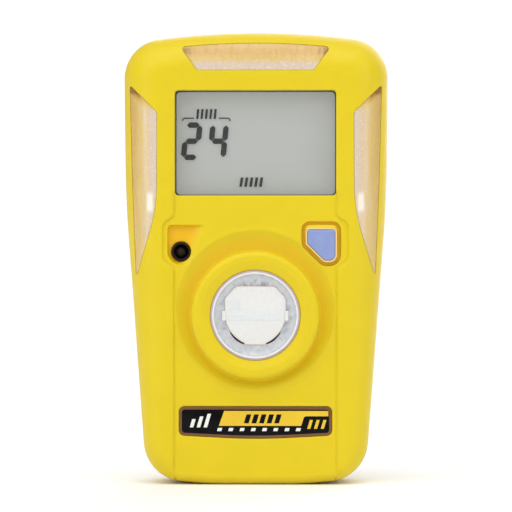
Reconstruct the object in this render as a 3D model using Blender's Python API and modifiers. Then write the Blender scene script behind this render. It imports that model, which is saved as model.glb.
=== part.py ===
"""Portable single-gas detector with an alligator clip, as an assembly of separate solids.

The detector stands on its bottom edge. X runs across it, Y through it with the display
facing -Y, and Z up it. The origin is the middle of the bounding box's lowest face.
Dimensions are in millimetres, and the makers below turn them into Blender's metres.
"""

import math

import bmesh
import bpy
from mathutils import Matrix, Vector

MM = 0.001
GAP = 0.3  # clearance between neighbouring solids

# Case: depths are along Y, from the front face at -11.8 to the rear face at 7.0.
FACE_Y = -11.8
REAR_Y = 7.0
FRONT_RIM_Y = -1.0
REAR_RIM_Y = FRONT_RIM_Y + GAP
WALL = 1.6
FRONT_INNER_Y = FACE_Y + WALL
REAR_INNER_Y = REAR_Y - WALL
PANEL_Y = FACE_Y + 0.3  # the centre panel lies a little below the two rails
ROUND_STEPS = 5
NEARLY_FLUSH = ("front_cover", "rear_cover")  # cuts that graze these skins need the manifold solver

# Sensor housing, on the case's centre line.
SENSOR_Z = 32.5
BOSS_HEIGHT = 14.0  # the boss's flat crown lies this far in front of the origin
BOSS_RADIUS = 12.3
BORE_RADIUS = 8.6
SOCKET_RADIUS = 9.9
SOCKET_TUBE_RADIUS = 11.2
SENSOR_RADIUS = 8.0
DISH_RADIUS = 15.0
DISH_FLOOR_RADIUS = 12.0
DISH_DEPTH = 0.7
DISH_RISE = 1.0  # the dish's centre lies this much above the sensor's

# Display.
DISPLAY_Z = 65.46
DISPLAY_HALF = (15.44, 10.06)

# Circuit board.
BOARD_FRONT_Y = -1.8
BOARD_BACK_Y = -0.8
BOARD_BOTTOM_Z = 19.6
BOARD_INSET = 3.4
ON_BOARD_Y = BOARD_FRONT_Y - GAP
BEHIND_BOARD_Y = BOARD_BACK_Y + GAP

# Buzzer and push button, either side of the panel above the sensor.
BUZZER_AT = (-14.25, 44.62)
SPEAKER_PORT_RADIUS = 1.88
KEY_CENTRE = (13.0, 46.6)
KEY_CORNERS = [
    (9.95, 48.85, 0.5),
    (9.95, 46.2, 0.5),
    (13.2, 42.95, 1.0),
    (15.25, 42.95, 1.1),
    (15.25, 48.85, 0.5),
]
BEZEL_RISE = 0.45  # the bezel round the key is this much wider along its top
BEZEL_WIDTH = 0.75
KEY_TRAVEL = 0.5

# Screws: (x, z) and the depth of the front pillar's blind end, mirrored left to right.
SCREW_PLACES = [(16.2, 7.0, -10.6), (19.2, 79.8, -9.4)]
SCREW_RADIUS = 0.9
SCREW_HEAD_RADIUS = 1.6
SCREW_HOLE_RADIUS = 1.25
FRONT_PILLAR_RADIUS = 1.9
REAR_PILLAR_RADIUS = 2.5
COUNTERBORE_RADIUS = 1.9
COUNTERBORE_FLOOR_Y = 2.6

# Half-AA lithium cell, lying across the bottom of the case.
CELL_Y = -2.7
CELL_Z = 10.9
CELL_RADIUS = 7.1

# Vibration motor, behind the board with its shaft along X.
MOTOR_Y = 2.3
MOTOR_Z = 48.0

# Alligator clip on the back: its pivot runs along X.
PIVOT_Y = 10.4
PIVOT_Z = 58.0
CLIP_PLATE_Y = (6.9, 7.7)
LEVER_PLATE_Y = (13.2, 14.0)
CLIP_SCREW_Z = 66.0

FINISHES = {  # colour, roughness, metallic
    "yellow_plastic": ((0.84, 0.65, 0.035), 0.42, 0.0),
    "frosted_lens": ((0.85, 0.70, 0.50), 0.35, 0.0),
    "clear_lens": ((0.85, 0.88, 0.88), 0.08, 0.0),
    "display_glass": ((0.48, 0.49, 0.47), 0.25, 0.0),
    "white_plastic": ((0.86, 0.86, 0.84), 0.55, 0.0),
    "sensor_ring": ((0.68, 0.71, 0.75), 0.25, 0.0),
    "blue_key": ((0.29, 0.36, 0.64), 0.5, 0.0),
    "black_rubber": ((0.02, 0.018, 0.016), 0.8, 0.0),
    "black_plastic": ((0.015, 0.015, 0.017), 0.45, 0.0),
    "name_plate": ((0.01, 0.01, 0.012), 0.15, 0.0),
    "board_green": ((0.02, 0.14, 0.06), 0.4, 0.0),
    "cell_wrap": ((0.05, 0.12, 0.30), 0.35, 0.0),
    "gold": ((0.9, 0.6, 0.2), 0.25, 1.0),
    "steel": ((0.62, 0.62, 0.60), 0.28, 1.0),
    "screw_steel": ((0.45, 0.45, 0.44), 0.35, 1.0),
}


# ---------------------------------------------------------------- scene and makers


def clear_scene():
    for item in list(bpy.data.objects):
        bpy.data.objects.remove(item)


def new_collection(name):
    collection = bpy.data.collections.new(name)
    bpy.context.scene.collection.children.link(collection)
    return collection


def finish_material(name):
    found = bpy.data.materials.get(name)
    if found:
        return found
    colour, roughness, metallic = FINISHES[name]
    made = bpy.data.materials.new(name)
    made.use_nodes = True
    shader = made.node_tree.nodes["Principled BSDF"]
    shader.inputs["Base Color"].default_value = (*colour, 1.0)
    shader.inputs["Roughness"].default_value = roughness
    shader.inputs["Metallic"].default_value = metallic
    return made


def adopt(item, name, finish):
    """Names the object and files it as a part, or as a helper when it has no finish."""
    item.name = name
    item.data.name = name
    for collection in list(item.users_collection):
        collection.objects.unlink(item)
    if finish is None:
        CUTTERS.objects.link(item)
        item.hide_render = True
        item.display_type = "WIRE"
        return item
    PARTS.objects.link(item)
    item.data.materials.clear()
    item.data.materials.append(finish_material(finish))
    item.data.shade_smooth()
    item.data.set_sharp_from_angle(angle=math.radians(35))
    return item


def move_origin(item, point):
    """Puts the object's origin at a point without moving its shape."""
    target = Vector(point) * MM
    item.data.transform(Matrix.Translation(-(item.matrix_basis.inverted() @ target)))
    item.location = target


def round_edges(item, width, segments=2):
    bevel = item.modifiers.new("round_edges", "BEVEL")
    bevel.width = width * MM
    bevel.segments = segments
    bevel.limit_method = "ANGLE"
    bevel.angle_limit = math.radians(40)
    return item


def box(name, low, high, finish=None, edge=0.0):
    """A block between two corners, with rounded edges when edge is given."""
    bpy.ops.mesh.primitive_cube_add(size=1)
    item = bpy.context.object
    sides = [(b - a) * MM for a, b in zip(low, high)]
    item.data.transform(Matrix.Diagonal((*sides, 1)))
    item.location = [(a + b) / 2 * MM for a, b in zip(low, high)]
    adopt(item, name, finish)
    return round_edges(item, edge) if edge else item


def cylinder(name, start, end, radius, finish=None, segments=24):
    start, end = Vector(start), Vector(end)
    along = end - start
    bpy.ops.mesh.primitive_cylinder_add(
        vertices=segments, radius=radius * MM, depth=along.length * MM, end_fill_type="NGON"
    )
    item = bpy.context.object
    item.location = (start + end) / 2 * MM
    item.rotation_euler = along.to_track_quat("Z", "Y").to_euler()
    return adopt(item, name, finish)


def turned(name, profile, centre, finish=None, segments=32, along="-Y"):
    """A profile of (radius, height) pairs turned about an axis through centre.

    The profile runs down its outer side. Heights are measured along the axis named by along.
    A profile whose ends are off the axis is closed into a ring.
    """
    mesh = bpy.data.meshes.new(name)
    points = [(radius * MM, 0, height * MM) for radius, height in profile]
    edges = [(i, i + 1) for i in range(len(points) - 1)]
    if profile[0][0] > 0 or profile[-1][0] > 0:
        edges.append((len(points) - 1, 0))
    mesh.from_pydata(points, edges, [])
    item = bpy.data.objects.new(name, mesh)
    item.location = Vector(centre) * MM
    item.rotation_euler = {
        "-Y": (math.pi / 2, 0, 0),
        "+Y": (-math.pi / 2, 0, 0),
        "+X": (0, math.pi / 2, 0),
    }[along]
    screw = item.modifiers.new("turn", "SCREW")
    screw.angle = math.tau
    screw.steps = screw.render_steps = segments
    screw.use_merge_vertices = True
    screw.merge_threshold = 0.00001
    return adopt(item, name, finish)


def mesh_from_curve(item):
    """The curve as a mesh whose caps are welded to its sides."""
    bpy.context.scene.collection.objects.link(item)
    bpy.context.view_layer.update()
    graph = bpy.context.evaluated_depsgraph_get()
    mesh = bpy.data.meshes.new_from_object(item.evaluated_get(graph))
    bm = bmesh.new()
    bm.from_mesh(mesh)
    bmesh.ops.remove_doubles(bm, verts=bm.verts, dist=0.00001)
    bm.to_mesh(mesh)
    bm.free()
    solid = bpy.data.objects.new(item.name, mesh)
    solid.matrix_world = item.matrix_world.copy()
    bpy.data.objects.remove(item)
    return solid


def plate(name, outlines, front_y, back_y, finish=None):
    """A flat piece parallel to the display: the first outline is its edge, and any others are holes."""
    curve = bpy.data.curves.new(name, "CURVE")
    curve.dimensions = "2D"
    curve.fill_mode = "BOTH"
    curve.extrude = abs(back_y - front_y) / 2 * MM
    for outline in outlines:
        spline = curve.splines.new("POLY")
        spline.points.add(len(outline) - 1)
        spline.use_cyclic_u = True
        for point, (x, z) in zip(spline.points, outline):
            point.co = (x * MM, z * MM, 0, 1)
    item = bpy.data.objects.new(name, curve)
    item.rotation_euler = (math.pi / 2, 0, 0)
    item.location = (0, (front_y + back_y) / 2 * MM, 0)
    return adopt(mesh_from_curve(item), name, finish)


def wire(name, points, radius, finish, bevel_resolution=1):
    """A round wire through the points."""
    curve = bpy.data.curves.new(name, "CURVE")
    curve.dimensions = "3D"
    curve.bevel_depth = radius * MM
    curve.bevel_resolution = bevel_resolution
    curve.use_fill_caps = True
    spline = curve.splines.new("POLY")
    spline.points.add(len(points) - 1)
    for spot, point in zip(spline.points, points):
        spot.co = (*[value * MM for value in point], 1)
    return adopt(mesh_from_curve(bpy.data.objects.new(name, curve)), name, finish)


def loft(name, rings, finish=None):
    """A closed skin through rings of the same number of points, with flat ends."""
    bm = bmesh.new()
    rows = [[bm.verts.new(Vector(point) * MM) for point in ring] for ring in rings]
    count = len(rows[0])
    for row, following in zip(rows, rows[1:]):
        for i in range(count):
            after = (i + 1) % count
            bm.faces.new((row[i], row[after], following[after], following[i]))
    bm.faces.new(rows[0])
    bm.faces.new(rows[-1])
    bmesh.ops.recalc_face_normals(bm, faces=bm.faces)
    mesh = bpy.data.meshes.new(name)
    bm.to_mesh(mesh)
    bm.free()
    return adopt(bpy.data.objects.new(name, mesh), name, finish)


def combine(item, operation, others):
    for other in others:
        boolean = item.modifiers.new(f"{operation.lower()}_{other.name}", "BOOLEAN")
        boolean.operation = operation
        boolean.solver = "MANIFOLD" if item.name in NEARLY_FLUSH else "EXACT"
        boolean.object = other
    return item


def cut(item, *others):
    return combine(item, "DIFFERENCE", others)


def join(item, *others):
    return combine(item, "UNION", others)


# ---------------------------------------------------------------- outlines in (x, z)


def rounded(corners, quarter_steps=4, longest_step=8.0):
    """A loop through corners (x, z, radius), each turned into an arc, anticlockwise from the front."""
    loop = []
    for i, (x, z, radius) in enumerate(corners):
        here = Vector((x, z))
        before = (Vector(corners[i - 1][:2]) - here).normalized()
        after = (Vector(corners[(i + 1) % len(corners)][:2]) - here).normalized()
        half = before.angle(after) / 2
        if radius == 0:
            loop.append((x, z))
            continue
        turn = math.pi - 2 * half
        centre = here + (before + after).normalized() * radius / math.sin(half)
        start = here + before * radius / math.tan(half) - centre
        side = 1 if before.x * after.y - before.y * after.x < 0 else -1
        steps = max(2, round(quarter_steps * turn / (math.pi / 2)), round(radius * turn / longest_step))
        for step in range(steps + 1):
            angle = side * turn * step / steps
            spoke = Matrix.Rotation(angle, 2) @ start
            loop.append(tuple(centre + spoke))
    return loop


def flipped(corners):
    """The same outline on the other side of the centre line, still anticlockwise."""
    return [(-x, *rest) for x, *rest in reversed(corners)]


def inward_normals(loop):
    """Each point's inward direction, lengthened so that edges move by one unit."""
    normals = []
    for i, point in enumerate(loop):
        here = Vector(point)
        arrive = (here - Vector(loop[i - 1])).normalized()
        leave = (Vector(loop[(i + 1) % len(loop)]) - here).normalized()
        first = Vector((-arrive.y, arrive.x))
        both = (first + Vector((-leave.y, leave.x))).normalized()
        normals.append(both / both.dot(first))
    return normals


def inset(loop, distance):
    return [tuple(Vector(p) + n * distance) for p, n in zip(loop, inward_normals(loop))]


def rectangle(centre_x, centre_z, half_x, half_z, radius=0.0):
    corners = [(-half_x, -half_z), (half_x, -half_z), (half_x, half_z), (-half_x, half_z)]
    return rounded([(centre_x + x, centre_z + z, radius) for x, z in corners])


def circle(x, z, radius, segments=24):
    angles = [math.tau * i / segments for i in range(segments)]
    return [(x + radius * math.cos(a), z + radius * math.sin(a)) for a in angles]


def case_outline():
    """The case seen from the front: narrower below, with an arched top."""
    right = [(9.0, 0.0, 60.0), (21.15, 1.3, 7.8), (25.25, 54.0, 240.0), (25.6, 84.8, 7.6)]
    return rounded(right + [(0.0, 88.26, 140.0)] + flipped(right), quarter_steps=5)


def case_band(outer, inner):
    """A band that runs round just inside the case, between two distances from its outline."""
    return [inset(case_outline(), outer), inset(case_outline(), inner)]


def side_window_outline():
    """The right-hand alarm window, which tapers to a point at its lower end."""
    return rounded(
        [(24.3, 76.6, 0.6), (18.85, 71.3, 1.2), (18.9, 53.0, 30.0), (23.05, 37.3, 0.5), (23.9, 58.0, 300.0)]
    )


def alarm_windows():
    """The outline of each alarm window, under its lens's name."""
    right = side_window_outline()
    return {
        "alarm_lens_right": right,
        "alarm_lens_left": [(-x, z) for x, z in reversed(right)],
        "alarm_lens_top": top_window_outline(),
    }


def name_plate_outline():
    """The name plate's bottom edge bows down a little."""
    lower = [(-14.45, 9.65, 0.9), (0, 8.88, 120.0), (14.45, 9.65, 0.9)]
    return rounded(lower + [(14.45, 14.83, 0.9), (-14.45, 14.83, 0.9)])


def top_window_outline():
    """The alarm window at the top, whose upper edge is arched like the case."""
    left = [(-14.5, 83.95, 0.6), (-11.2, 79.35, 1.0)]
    return rounded(left + flipped(left) + [(0, 85.25, 140.0)])


def panel_outline():
    """The sunk centre panel, which widens round the buzzer and the button."""
    lower = [(15.6, -3.0, 0), (15.6, 41.4, 1.2), (17.75, 42.9, 1.5)]
    upper = [(17.75, 50.0, 1.5), (15.6, 51.4, 1.2), (15.6, 56.0, 0)]
    return rounded(lower + upper + flipped(lower + upper))


def bezel_outline(width):
    """The outline of the bezel round the key, width outside it and a little more along the top."""
    top = max(z for _, z, _ in KEY_CORNERS)
    corners = [(x, z + BEZEL_RISE if z == top else z, radius) for x, z, radius in KEY_CORNERS]
    return inset(rounded(corners), -width)


# ---------------------------------------------------------------- case


def smooth_step(value, low, high):
    t = min(1.0, max(0.0, (value - low) / (high - low)))
    return t * t * (3 - 2 * t)


def front_rounding(z, normal):
    """How far the front edge's rounding reaches inwards and back, which differs round the case."""
    side = smooth_step(z, 5.0, 45.0)
    side_reach = (4.0 + 3.0 * side, 5.0 + 3.0 * side)
    end_reach = (6.5, 7.0) if normal.y < 0 else (2.6, 2.6)
    share = normal.x**2 / normal.length_squared
    return [s * share + e * (1 - share) for s, e in zip(side_reach, end_reach)]


def rear_rounding(_z, normal):
    share = normal.x**2 / normal.length_squared
    end_reach = 4.0 if normal.y < 0 else 2.6
    reach = 4.0 * share + end_reach * (1 - share)
    return [reach, reach]


def skin_rings(depth_in, face_y, rim_y, rounding):
    """Sections of the case's skin, depth_in under its outside, from the rim to the face."""
    outline = inset(case_outline(), depth_in)
    toward_face = -1 if face_y < rim_y else 1
    spots = [
        (Vector(point), normal, [reach - depth_in for reach in rounding(point[1], normal)])
        for point, normal in zip(outline, inward_normals(outline))
    ]
    rings = [[(point.x, rim_y, point.y) for point, _, _ in spots]]
    for step in range(ROUND_STEPS + 1):
        angle = math.pi / 2 * step / ROUND_STEPS
        ring = []
        for point, normal, (width, depth) in spots:
            moved = point + normal * width * (1 - math.cos(angle))
            ring.append((moved.x, face_y - toward_face * depth * (1 - math.sin(angle)), moved.y))
        rings.append(ring)
    return rings


def window_prism(name, outline, finish=None, clearance=0.0):
    return plate(name, [inset(outline, clearance)], FACE_Y - 1.0, -5.7 - clearance, finish)


def sensor_boss():
    """The ring round the sensor, with the socket behind it that the sensor plugs into."""
    profile = [
        (BOSS_RADIUS - 1.0, BOSS_HEIGHT),
        (BOSS_RADIUS - 0.3, BOSS_HEIGHT - 0.3),
        (BOSS_RADIUS, BOSS_HEIGHT - 1.0),
        (BOSS_RADIUS, 10.4),
        (SOCKET_TUBE_RADIUS, 10.0),
        (SOCKET_TUBE_RADIUS, 6.0),
        (SOCKET_RADIUS, 6.0),
        (SOCKET_RADIUS, 11.4),
        (BORE_RADIUS, 11.4),
        (BORE_RADIUS, BOSS_HEIGHT - 0.4),
        (BORE_RADIUS + 0.55, BOSS_HEIGHT),
    ]
    return turned("sensor_boss", profile, (0, 0, SENSOR_Z), segments=40)


def dish_cutter():
    """The shallow dish that the boss stands in."""
    top, deepest = 13.0, -PANEL_Y - DISH_DEPTH
    cone = [(DISH_RADIUS, -PANEL_Y), (DISH_FLOOR_RADIUS, deepest)]
    profile = [(0, top), (DISH_RADIUS, top), *cone, (0, deepest)]
    return turned("dish_cutter", profile, (0, 0, SENSOR_Z + DISH_RISE), segments=40)


def make_front_cover():
    cover = loft("front_cover", skin_rings(0, FACE_Y, FRONT_RIM_Y, front_rounding), "yellow_plastic")
    hollow = loft("front_hollow", skin_rings(WALL, FRONT_INNER_Y, FRONT_RIM_Y + 1.0, front_rounding))
    panel = plate("panel_cutter", [panel_outline()], FACE_Y - 1.0, PANEL_Y)
    cut(cover, hollow, panel, dish_cutter())

    ledge = plate("seal_ledge", case_band(1.0, 2.9), -4.3, -3.35)
    speaker_pad = box("speaker_pad", (-18.2, FRONT_INNER_Y - 0.2, 41.0), (-8.8, -9.4, 51.5))
    join(cover, ledge, speaker_pad)
    for x, z, tip_y in both_sides(SCREW_PLACES):
        ends = (x, tip_y, z), (x, FRONT_RIM_Y, z)
        join(cover, cylinder(f"front_pillar_{x}_{z}", *ends, FRONT_PILLAR_RADIUS, segments=16))

    mouth = cylinder("boss_mouth", (0, -13.0, SENSOR_Z), (0, -8.0, SENSOR_Z), 10.5, segments=40)
    cut(cover, mouth)
    join(cover, sensor_boss())

    scoop = rounded([(-16.9, 50.0, 0.8), (-16.9, 42.7, 2.2), (-12.6, 42.7, 1.0), (-9.2, 50.0, 0.8)])
    x, z = BUZZER_AT
    cut(
        cover,
        *[window_prism(f"{name}_cutter", outline) for name, outline in alarm_windows().items()],
        plate("display_cutter", [rectangle(0, DISPLAY_Z, *DISPLAY_HALF, 0.7)], FACE_Y - 1, -8.0),
        plate("scoop_cutter", [scoop], FACE_Y - 1, -10.6),
        cylinder("speaker_port_cutter", (x, -13, z), (x, -8, z), SPEAKER_PORT_RADIUS, segments=20),
        plate("button_cutter", [bezel_outline(BEZEL_WIDTH + GAP)], FACE_Y - 1, -9.0),
        plate("name_plate_bed", [inset(name_plate_outline(), -GAP)], FACE_Y - 1, PANEL_Y + 0.8),
    )
    for x, z, tip_y in both_sides(SCREW_PLACES):
        ends = (x, max(tip_y, -9.4) + 0.8, z), (x, 0, z)
        cut(cover, cylinder(f"front_screw_hole_{x}_{z}", *ends, SCREW_HOLE_RADIUS, segments=12))
    for x in (-15.4, 15.4):
        cut(cover, box(f"foot_notch_{x}", (x - 0.25, -13, -1), (x + 0.25, 1, 0.75)))
    return cover


def make_rear_cover():
    cover = loft("rear_cover", skin_rings(0, REAR_Y, REAR_RIM_Y, rear_rounding), "yellow_plastic")
    hollow = loft("rear_hollow", skin_rings(WALL, REAR_INNER_Y, REAR_RIM_Y - 1.0, rear_rounding))
    cut(cover, hollow)
    shelf = plate("lip_shelf", case_band(0.9, 3.2), REAR_RIM_Y + 0.2, 1.4)
    lip = plate("lip", case_band(1.9, 2.9), -1.6, 1.0)
    clip_pillar = cylinder("clip_pillar", (0, 2.2, CLIP_SCREW_Z), (0, 6.2, CLIP_SCREW_Z), 3.2, segments=20)
    join(cover, shelf, lip, clip_pillar)
    for x, z, _ in both_sides(SCREW_PLACES):
        ends = (x, REAR_RIM_Y, z), (x, REAR_Y - WALL / 2, z)
        join(cover, cylinder(f"rear_pillar_{x}_{z}", *ends, REAR_PILLAR_RADIUS, segments=16))
    for x, z, _ in both_sides(SCREW_PLACES):
        floor = (x, COUNTERBORE_FLOOR_Y, z)
        cut(
            cover,
            cylinder(f"rear_screw_hole_{x}_{z}", (x, -3, z), (x, 4, z), SCREW_HOLE_RADIUS, segments=12),
            cylinder(f"counterbore_{x}_{z}", floor, (x, 8, z), COUNTERBORE_RADIUS, segments=16),
        )
    cut(
        cover,
        plate("clip_bed_cutter", [rectangle(0, 53.0, 5.8, 19.3, 1.3)], CLIP_PLATE_Y[0] - GAP, 8.0),
        plate("label_bed_cutter", [rectangle(0, 18.0, 12.3, 9.3, 1.3)], REAR_Y - 0.6, 8.0),
        cylinder("clip_screw_hole", (0, 1, CLIP_SCREW_Z), (0, 8, CLIP_SCREW_Z), 1.6, segments=16),
    )
    return cover


def make_case_seal():
    return plate("case_seal", case_band(1.9, 2.9), -3.0, -1.9, "black_rubber")


def make_cover_screws():
    profile = [
        (0, 4.3),
        (1.2, 4.3),
        (SCREW_HEAD_RADIUS, 3.9),
        (SCREW_HEAD_RADIUS, 2.9),
        (SCREW_RADIUS, 2.9),
        (SCREW_RADIUS, -7.4),
        (0, -8.2),
    ]
    for number, (x, z, _) in enumerate(both_sides(SCREW_PLACES), 1):
        screw = turned(f"cover_screw_{number}", profile, (x, 0, z), "screw_steel", 16, along="+Y")
        cut(screw, cylinder(f"drive_recess_{number}", (x, 3.6, z), (x, 5, z), 0.75, segments=6))


def both_sides(places):
    return [(side * x, *rest) for x, *rest in places for side in (-1, 1)]


# ---------------------------------------------------------------- alarm windows and lamps


def make_alarm_lenses():
    """Frosted windows that follow the case's skin a little below it."""
    outside = loft("lens_outside", skin_rings(0.45, FACE_Y + 0.45, FRONT_RIM_Y, front_rounding))
    inside = loft("lens_inside", skin_rings(1.7, FACE_Y + 1.75, FRONT_RIM_Y, front_rounding))
    for name, outline in alarm_windows().items():
        lens = window_prism(name, outline, "frosted_lens", GAP)
        combine(lens, "INTERSECT", [outside])
        cut(lens, inside)


def make_alarm_lamps():
    """Rectangular light-emitting diodes that stand on the board under each window."""
    places = {
        "alarm_led_left": (-20.2, 54.7, 0.85, 1.4),
        "alarm_led_right": (20.2, 54.7, 0.85, 1.4),
        "alarm_led_top_left": (-5.0, 81.0, 1.4, 0.85),
        "alarm_led_top_right": (5.0, 81.0, 1.4, 0.85),
    }
    for name, (x, z, half_x, half_z) in places.items():
        low, high = (x - half_x, -8.0, z - half_z), (x + half_x, ON_BOARD_Y, z + half_z)
        box(name, low, high, "white_plastic", edge=0.15)


# ---------------------------------------------------------------- display


def make_display():
    half_x, half_z = DISPLAY_HALF
    plug = plate(
        "window_plug",
        [rectangle(0, DISPLAY_Z, half_x - GAP, half_z - GAP, 0.5)],
        FACE_Y + 0.9,
        FRONT_INNER_Y + 0.6,
    )
    flange = rectangle(0, DISPLAY_Z, half_x + 1.2, half_z + 1.27, 0.8)
    window = plate("display_window", [flange], FRONT_INNER_Y + GAP, -9.1, "clear_lens")
    join(window, plug)

    glass = rectangle(0, DISPLAY_Z, 16.0, 10.8)
    plate("display_panel", [glass], -8.8, -7.0, "display_glass")

    outer = rectangle(0, DISPLAY_Z, 17.0, 11.9, 0.6)
    inner = rectangle(0, DISPLAY_Z, 16.3, 11.1)
    plate("display_frame", [outer, inner], -8.8, ON_BOARD_Y, "black_plastic")

    for name, side in (("zebra_strip_lower", -1), ("zebra_strip_upper", 1)):
        z = DISPLAY_Z + side * 10.0
        box(name, (-14.5, -6.7, z - 0.8), (14.5, ON_BOARD_Y, z + 0.8), "black_rubber")

    low, high = DISPLAY_Z - 8.6, DISPLAY_Z + 8.6
    diffuser = box("backlight_diffuser", (-14.5, -6.7, low), (14.5, ON_BOARD_Y, high), "white_plastic")
    cut(diffuser, box("diffuser_underside", (-13.5, -5.5, low - 0.5), (13.5, 0, high + 0.5)))


# ---------------------------------------------------------------- controls and sounder


def make_button():
    key = rounded(KEY_CORNERS)
    opening = inset(key, -GAP)
    edge = bezel_outline(BEZEL_WIDTH)
    collar = plate("button_collar", [edge, opening], FACE_Y + 0.1, -9.6, "yellow_plastic")
    join(collar, plate("collar_flange", [bezel_outline(2.0), opening], FRONT_INNER_Y + GAP, -9.2))

    x, z = KEY_CENTRE
    button = round_edges(plate("push_button", [key], FACE_Y - 0.1, -8.5, "blue_key"), 0.25, 1)
    skirt = plate("button_skirt", [inset(key, -0.9)], -8.9, -8.1)
    stem = cylinder("button_stem", (x, -8.5, z), (x, -5.3, z), 1.5, segments=16)
    join(button, skirt, stem)
    move_origin(button, (x, FACE_Y, z))

    switch = box("button_switch", (x - 3, -4.3, z - 3), (x + 3, ON_BOARD_Y, z + 3), "black_plastic")
    bore_floor = ON_BOARD_Y - GAP
    cut(switch, cylinder("switch_bore", (x, -5, z), (x, bore_floor, z), 1.75, segments=16))
    plunger_back = bore_floor - KEY_TRAVEL - GAP
    cylinder("switch_plunger", (x, -5.0, z), (x, plunger_back, z), 1.4, "white_plastic", 16)


def make_sounder():
    x, z = BUZZER_AT
    buzzer = cylinder("buzzer", (x, -8.3, z), (x, ON_BOARD_Y, z), 4.7, "black_plastic", 28)
    cut(buzzer, cylinder("buzzer_hole", (x, -9, z), (x, -7.5, z), 1.0, segments=12))
    outer = SPEAKER_PORT_RADIUS - GAP
    profile = [
        (outer - 0.2, 11.1),
        (outer, 10.9),
        (outer, 9.1),
        (3.0, 9.1),
        (3.0, 8.6),
        (0.85, 8.6),
        (0.85, 10.4),
        (1.1, 11.1),
    ]
    turned("buzzer_grommet", profile, (x, 0, z), "black_rubber", 20)


# ---------------------------------------------------------------- sensor


def lens_shape(radius, half_height, segments=40):
    """A circle with its top and bottom cut flat."""
    corner_x = math.sqrt(radius**2 - half_height**2)
    right = [(x, z) for x, z in circle(0, 0, radius, segments) if x > 0 and abs(z) < half_height - 0.1]
    right = [(corner_x, -half_height), *sorted(right, key=lambda point: point[1]), (corner_x, half_height)]
    return [(x, SENSOR_Z + z) for x, z in right + [(-x, z) for x, z in reversed(right)]]


def make_sensor():
    retainer = turned(
        "sensor_retainer",
        [(7.95, 13.7), (8.3, 13.4), (8.3, 11.8), (5.2, 11.8), (5.2, 12.9), (6.5, 13.4)],
        (0, 0, SENSOR_Z),
        "sensor_ring",
        40,
    )
    ear_slot = box("ear_slot", (-6.7, -14.5, SENSOR_Z - 1.6), (6.7, -12.0, SENSOR_Z + 0.9))
    cut(retainer, plate("filter_seat", [lens_shape(6.15, 5.8)], -14.5, -12.0), ear_slot)

    filter_disc = plate("sensor_filter", [lens_shape(5.85, 5.5)], -12.9, -12.3, "white_plastic")
    bar = box("filter_bar", (-6.35, -13.2, SENSOR_Z - 1.3), (6.35, -12.35, SENSOR_Z + 0.6))
    join(filter_disc, bar)

    top = [(0, 11.5), (SENSOR_RADIUS - 0.4, 11.5), (SENSOR_RADIUS, 11.1)]
    bottom = [(SENSOR_RADIUS, 2.5), (SENSOR_RADIUS - 0.4, -ON_BOARD_Y), (0, -ON_BOARD_Y)]
    turned("sensor_cell", top + bottom, (0, 0, SENSOR_Z), "white_plastic", 36)
    gasket = [(8.3, 11.1), (9.6, 11.1), (9.6, 9.6), (8.3, 9.6)]
    turned("sensor_gasket", gasket, (0, 0, SENSOR_Z), "black_rubber", 36)
    for number, (x, z) in enumerate(sensor_pin_places(), 1):
        cylinder(f"sensor_pin_{number}", (x, BOARD_FRONT_Y, z), (x, 0.4, z), 0.45, "gold", 10)


def sensor_pin_places():
    angles = [math.radians(a) for a in (90, 210, 330)]
    return [(5.0 * math.cos(a), SENSOR_Z + 5.0 * math.sin(a)) for a in angles]


# ---------------------------------------------------------------- electronics


def make_circuit_board():
    edge = inset(case_outline(), BOARD_INSET)
    board = plate("circuit_board", [edge], BOARD_FRONT_Y, BOARD_BACK_Y, "board_green")
    cut(board, box("board_bottom_cutter", (-30, -3, -1), (30, 1, BOARD_BOTTOM_Z)))
    for x, z, _ in both_sides(SCREW_PLACES[1:]):
        cut(board, cylinder(f"board_notch_{x}", (x, -3, z), (x, 1, z), 2.9, segments=16))
    for number, (x, z) in enumerate(sensor_pin_places(), 1):
        cut(board, cylinder(f"pin_hole_{number}", (x, -3, z), (x, 1, z), 1.0, segments=12))
    return board


def make_board_components():
    box("controller_chip", (-12.5, BEHIND_BOARD_Y, 62.5), (-5.5, 0.6, 69.5), "black_plastic", 0.1)
    box("sensor_amplifier", (-12.4, BEHIND_BOARD_Y, 34.0), (-8.0, 0.7, 38.0), "black_plastic", 0.1)
    cylinder("buzzer_inductor", (-14.0, BEHIND_BOARD_Y, 56.0), (-14.0, 2.3, 56.0), 2.2, "black_plastic", 20)
    crystal_y = BEHIND_BOARD_Y + 1.2
    cylinder("clock_crystal", (9.5, crystal_y, 62.0), (9.5, crystal_y, 68.0), 1.1, "steel", 14)


def make_battery():
    body = [
        (0, 12.3),
        (2.8, 12.3),
        (2.8, 11.4),
        (6.6, 11.3),
        (CELL_RADIUS, 10.7),
        (CELL_RADIUS, -11.8),
        (6.6, -12.2),
        (0, -12.2),
    ]
    turned("battery_cell", body, (0, CELL_Y, CELL_Z), "cell_wrap", 32, along="+X")
    tab_y = (-5.6, ON_BOARD_Y)
    box("battery_tab_positive", (12.6, tab_y[0], CELL_Z - 2), (12.85, tab_y[1], 23.0), "steel")
    box("battery_tab_negative", (-12.75, tab_y[0], CELL_Z - 2), (-12.5, tab_y[1], 23.0), "steel")
    box("battery_pad", (-9, 4.7, CELL_Z - 5), (9, 5.1, CELL_Z + 5), "black_rubber")


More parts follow.
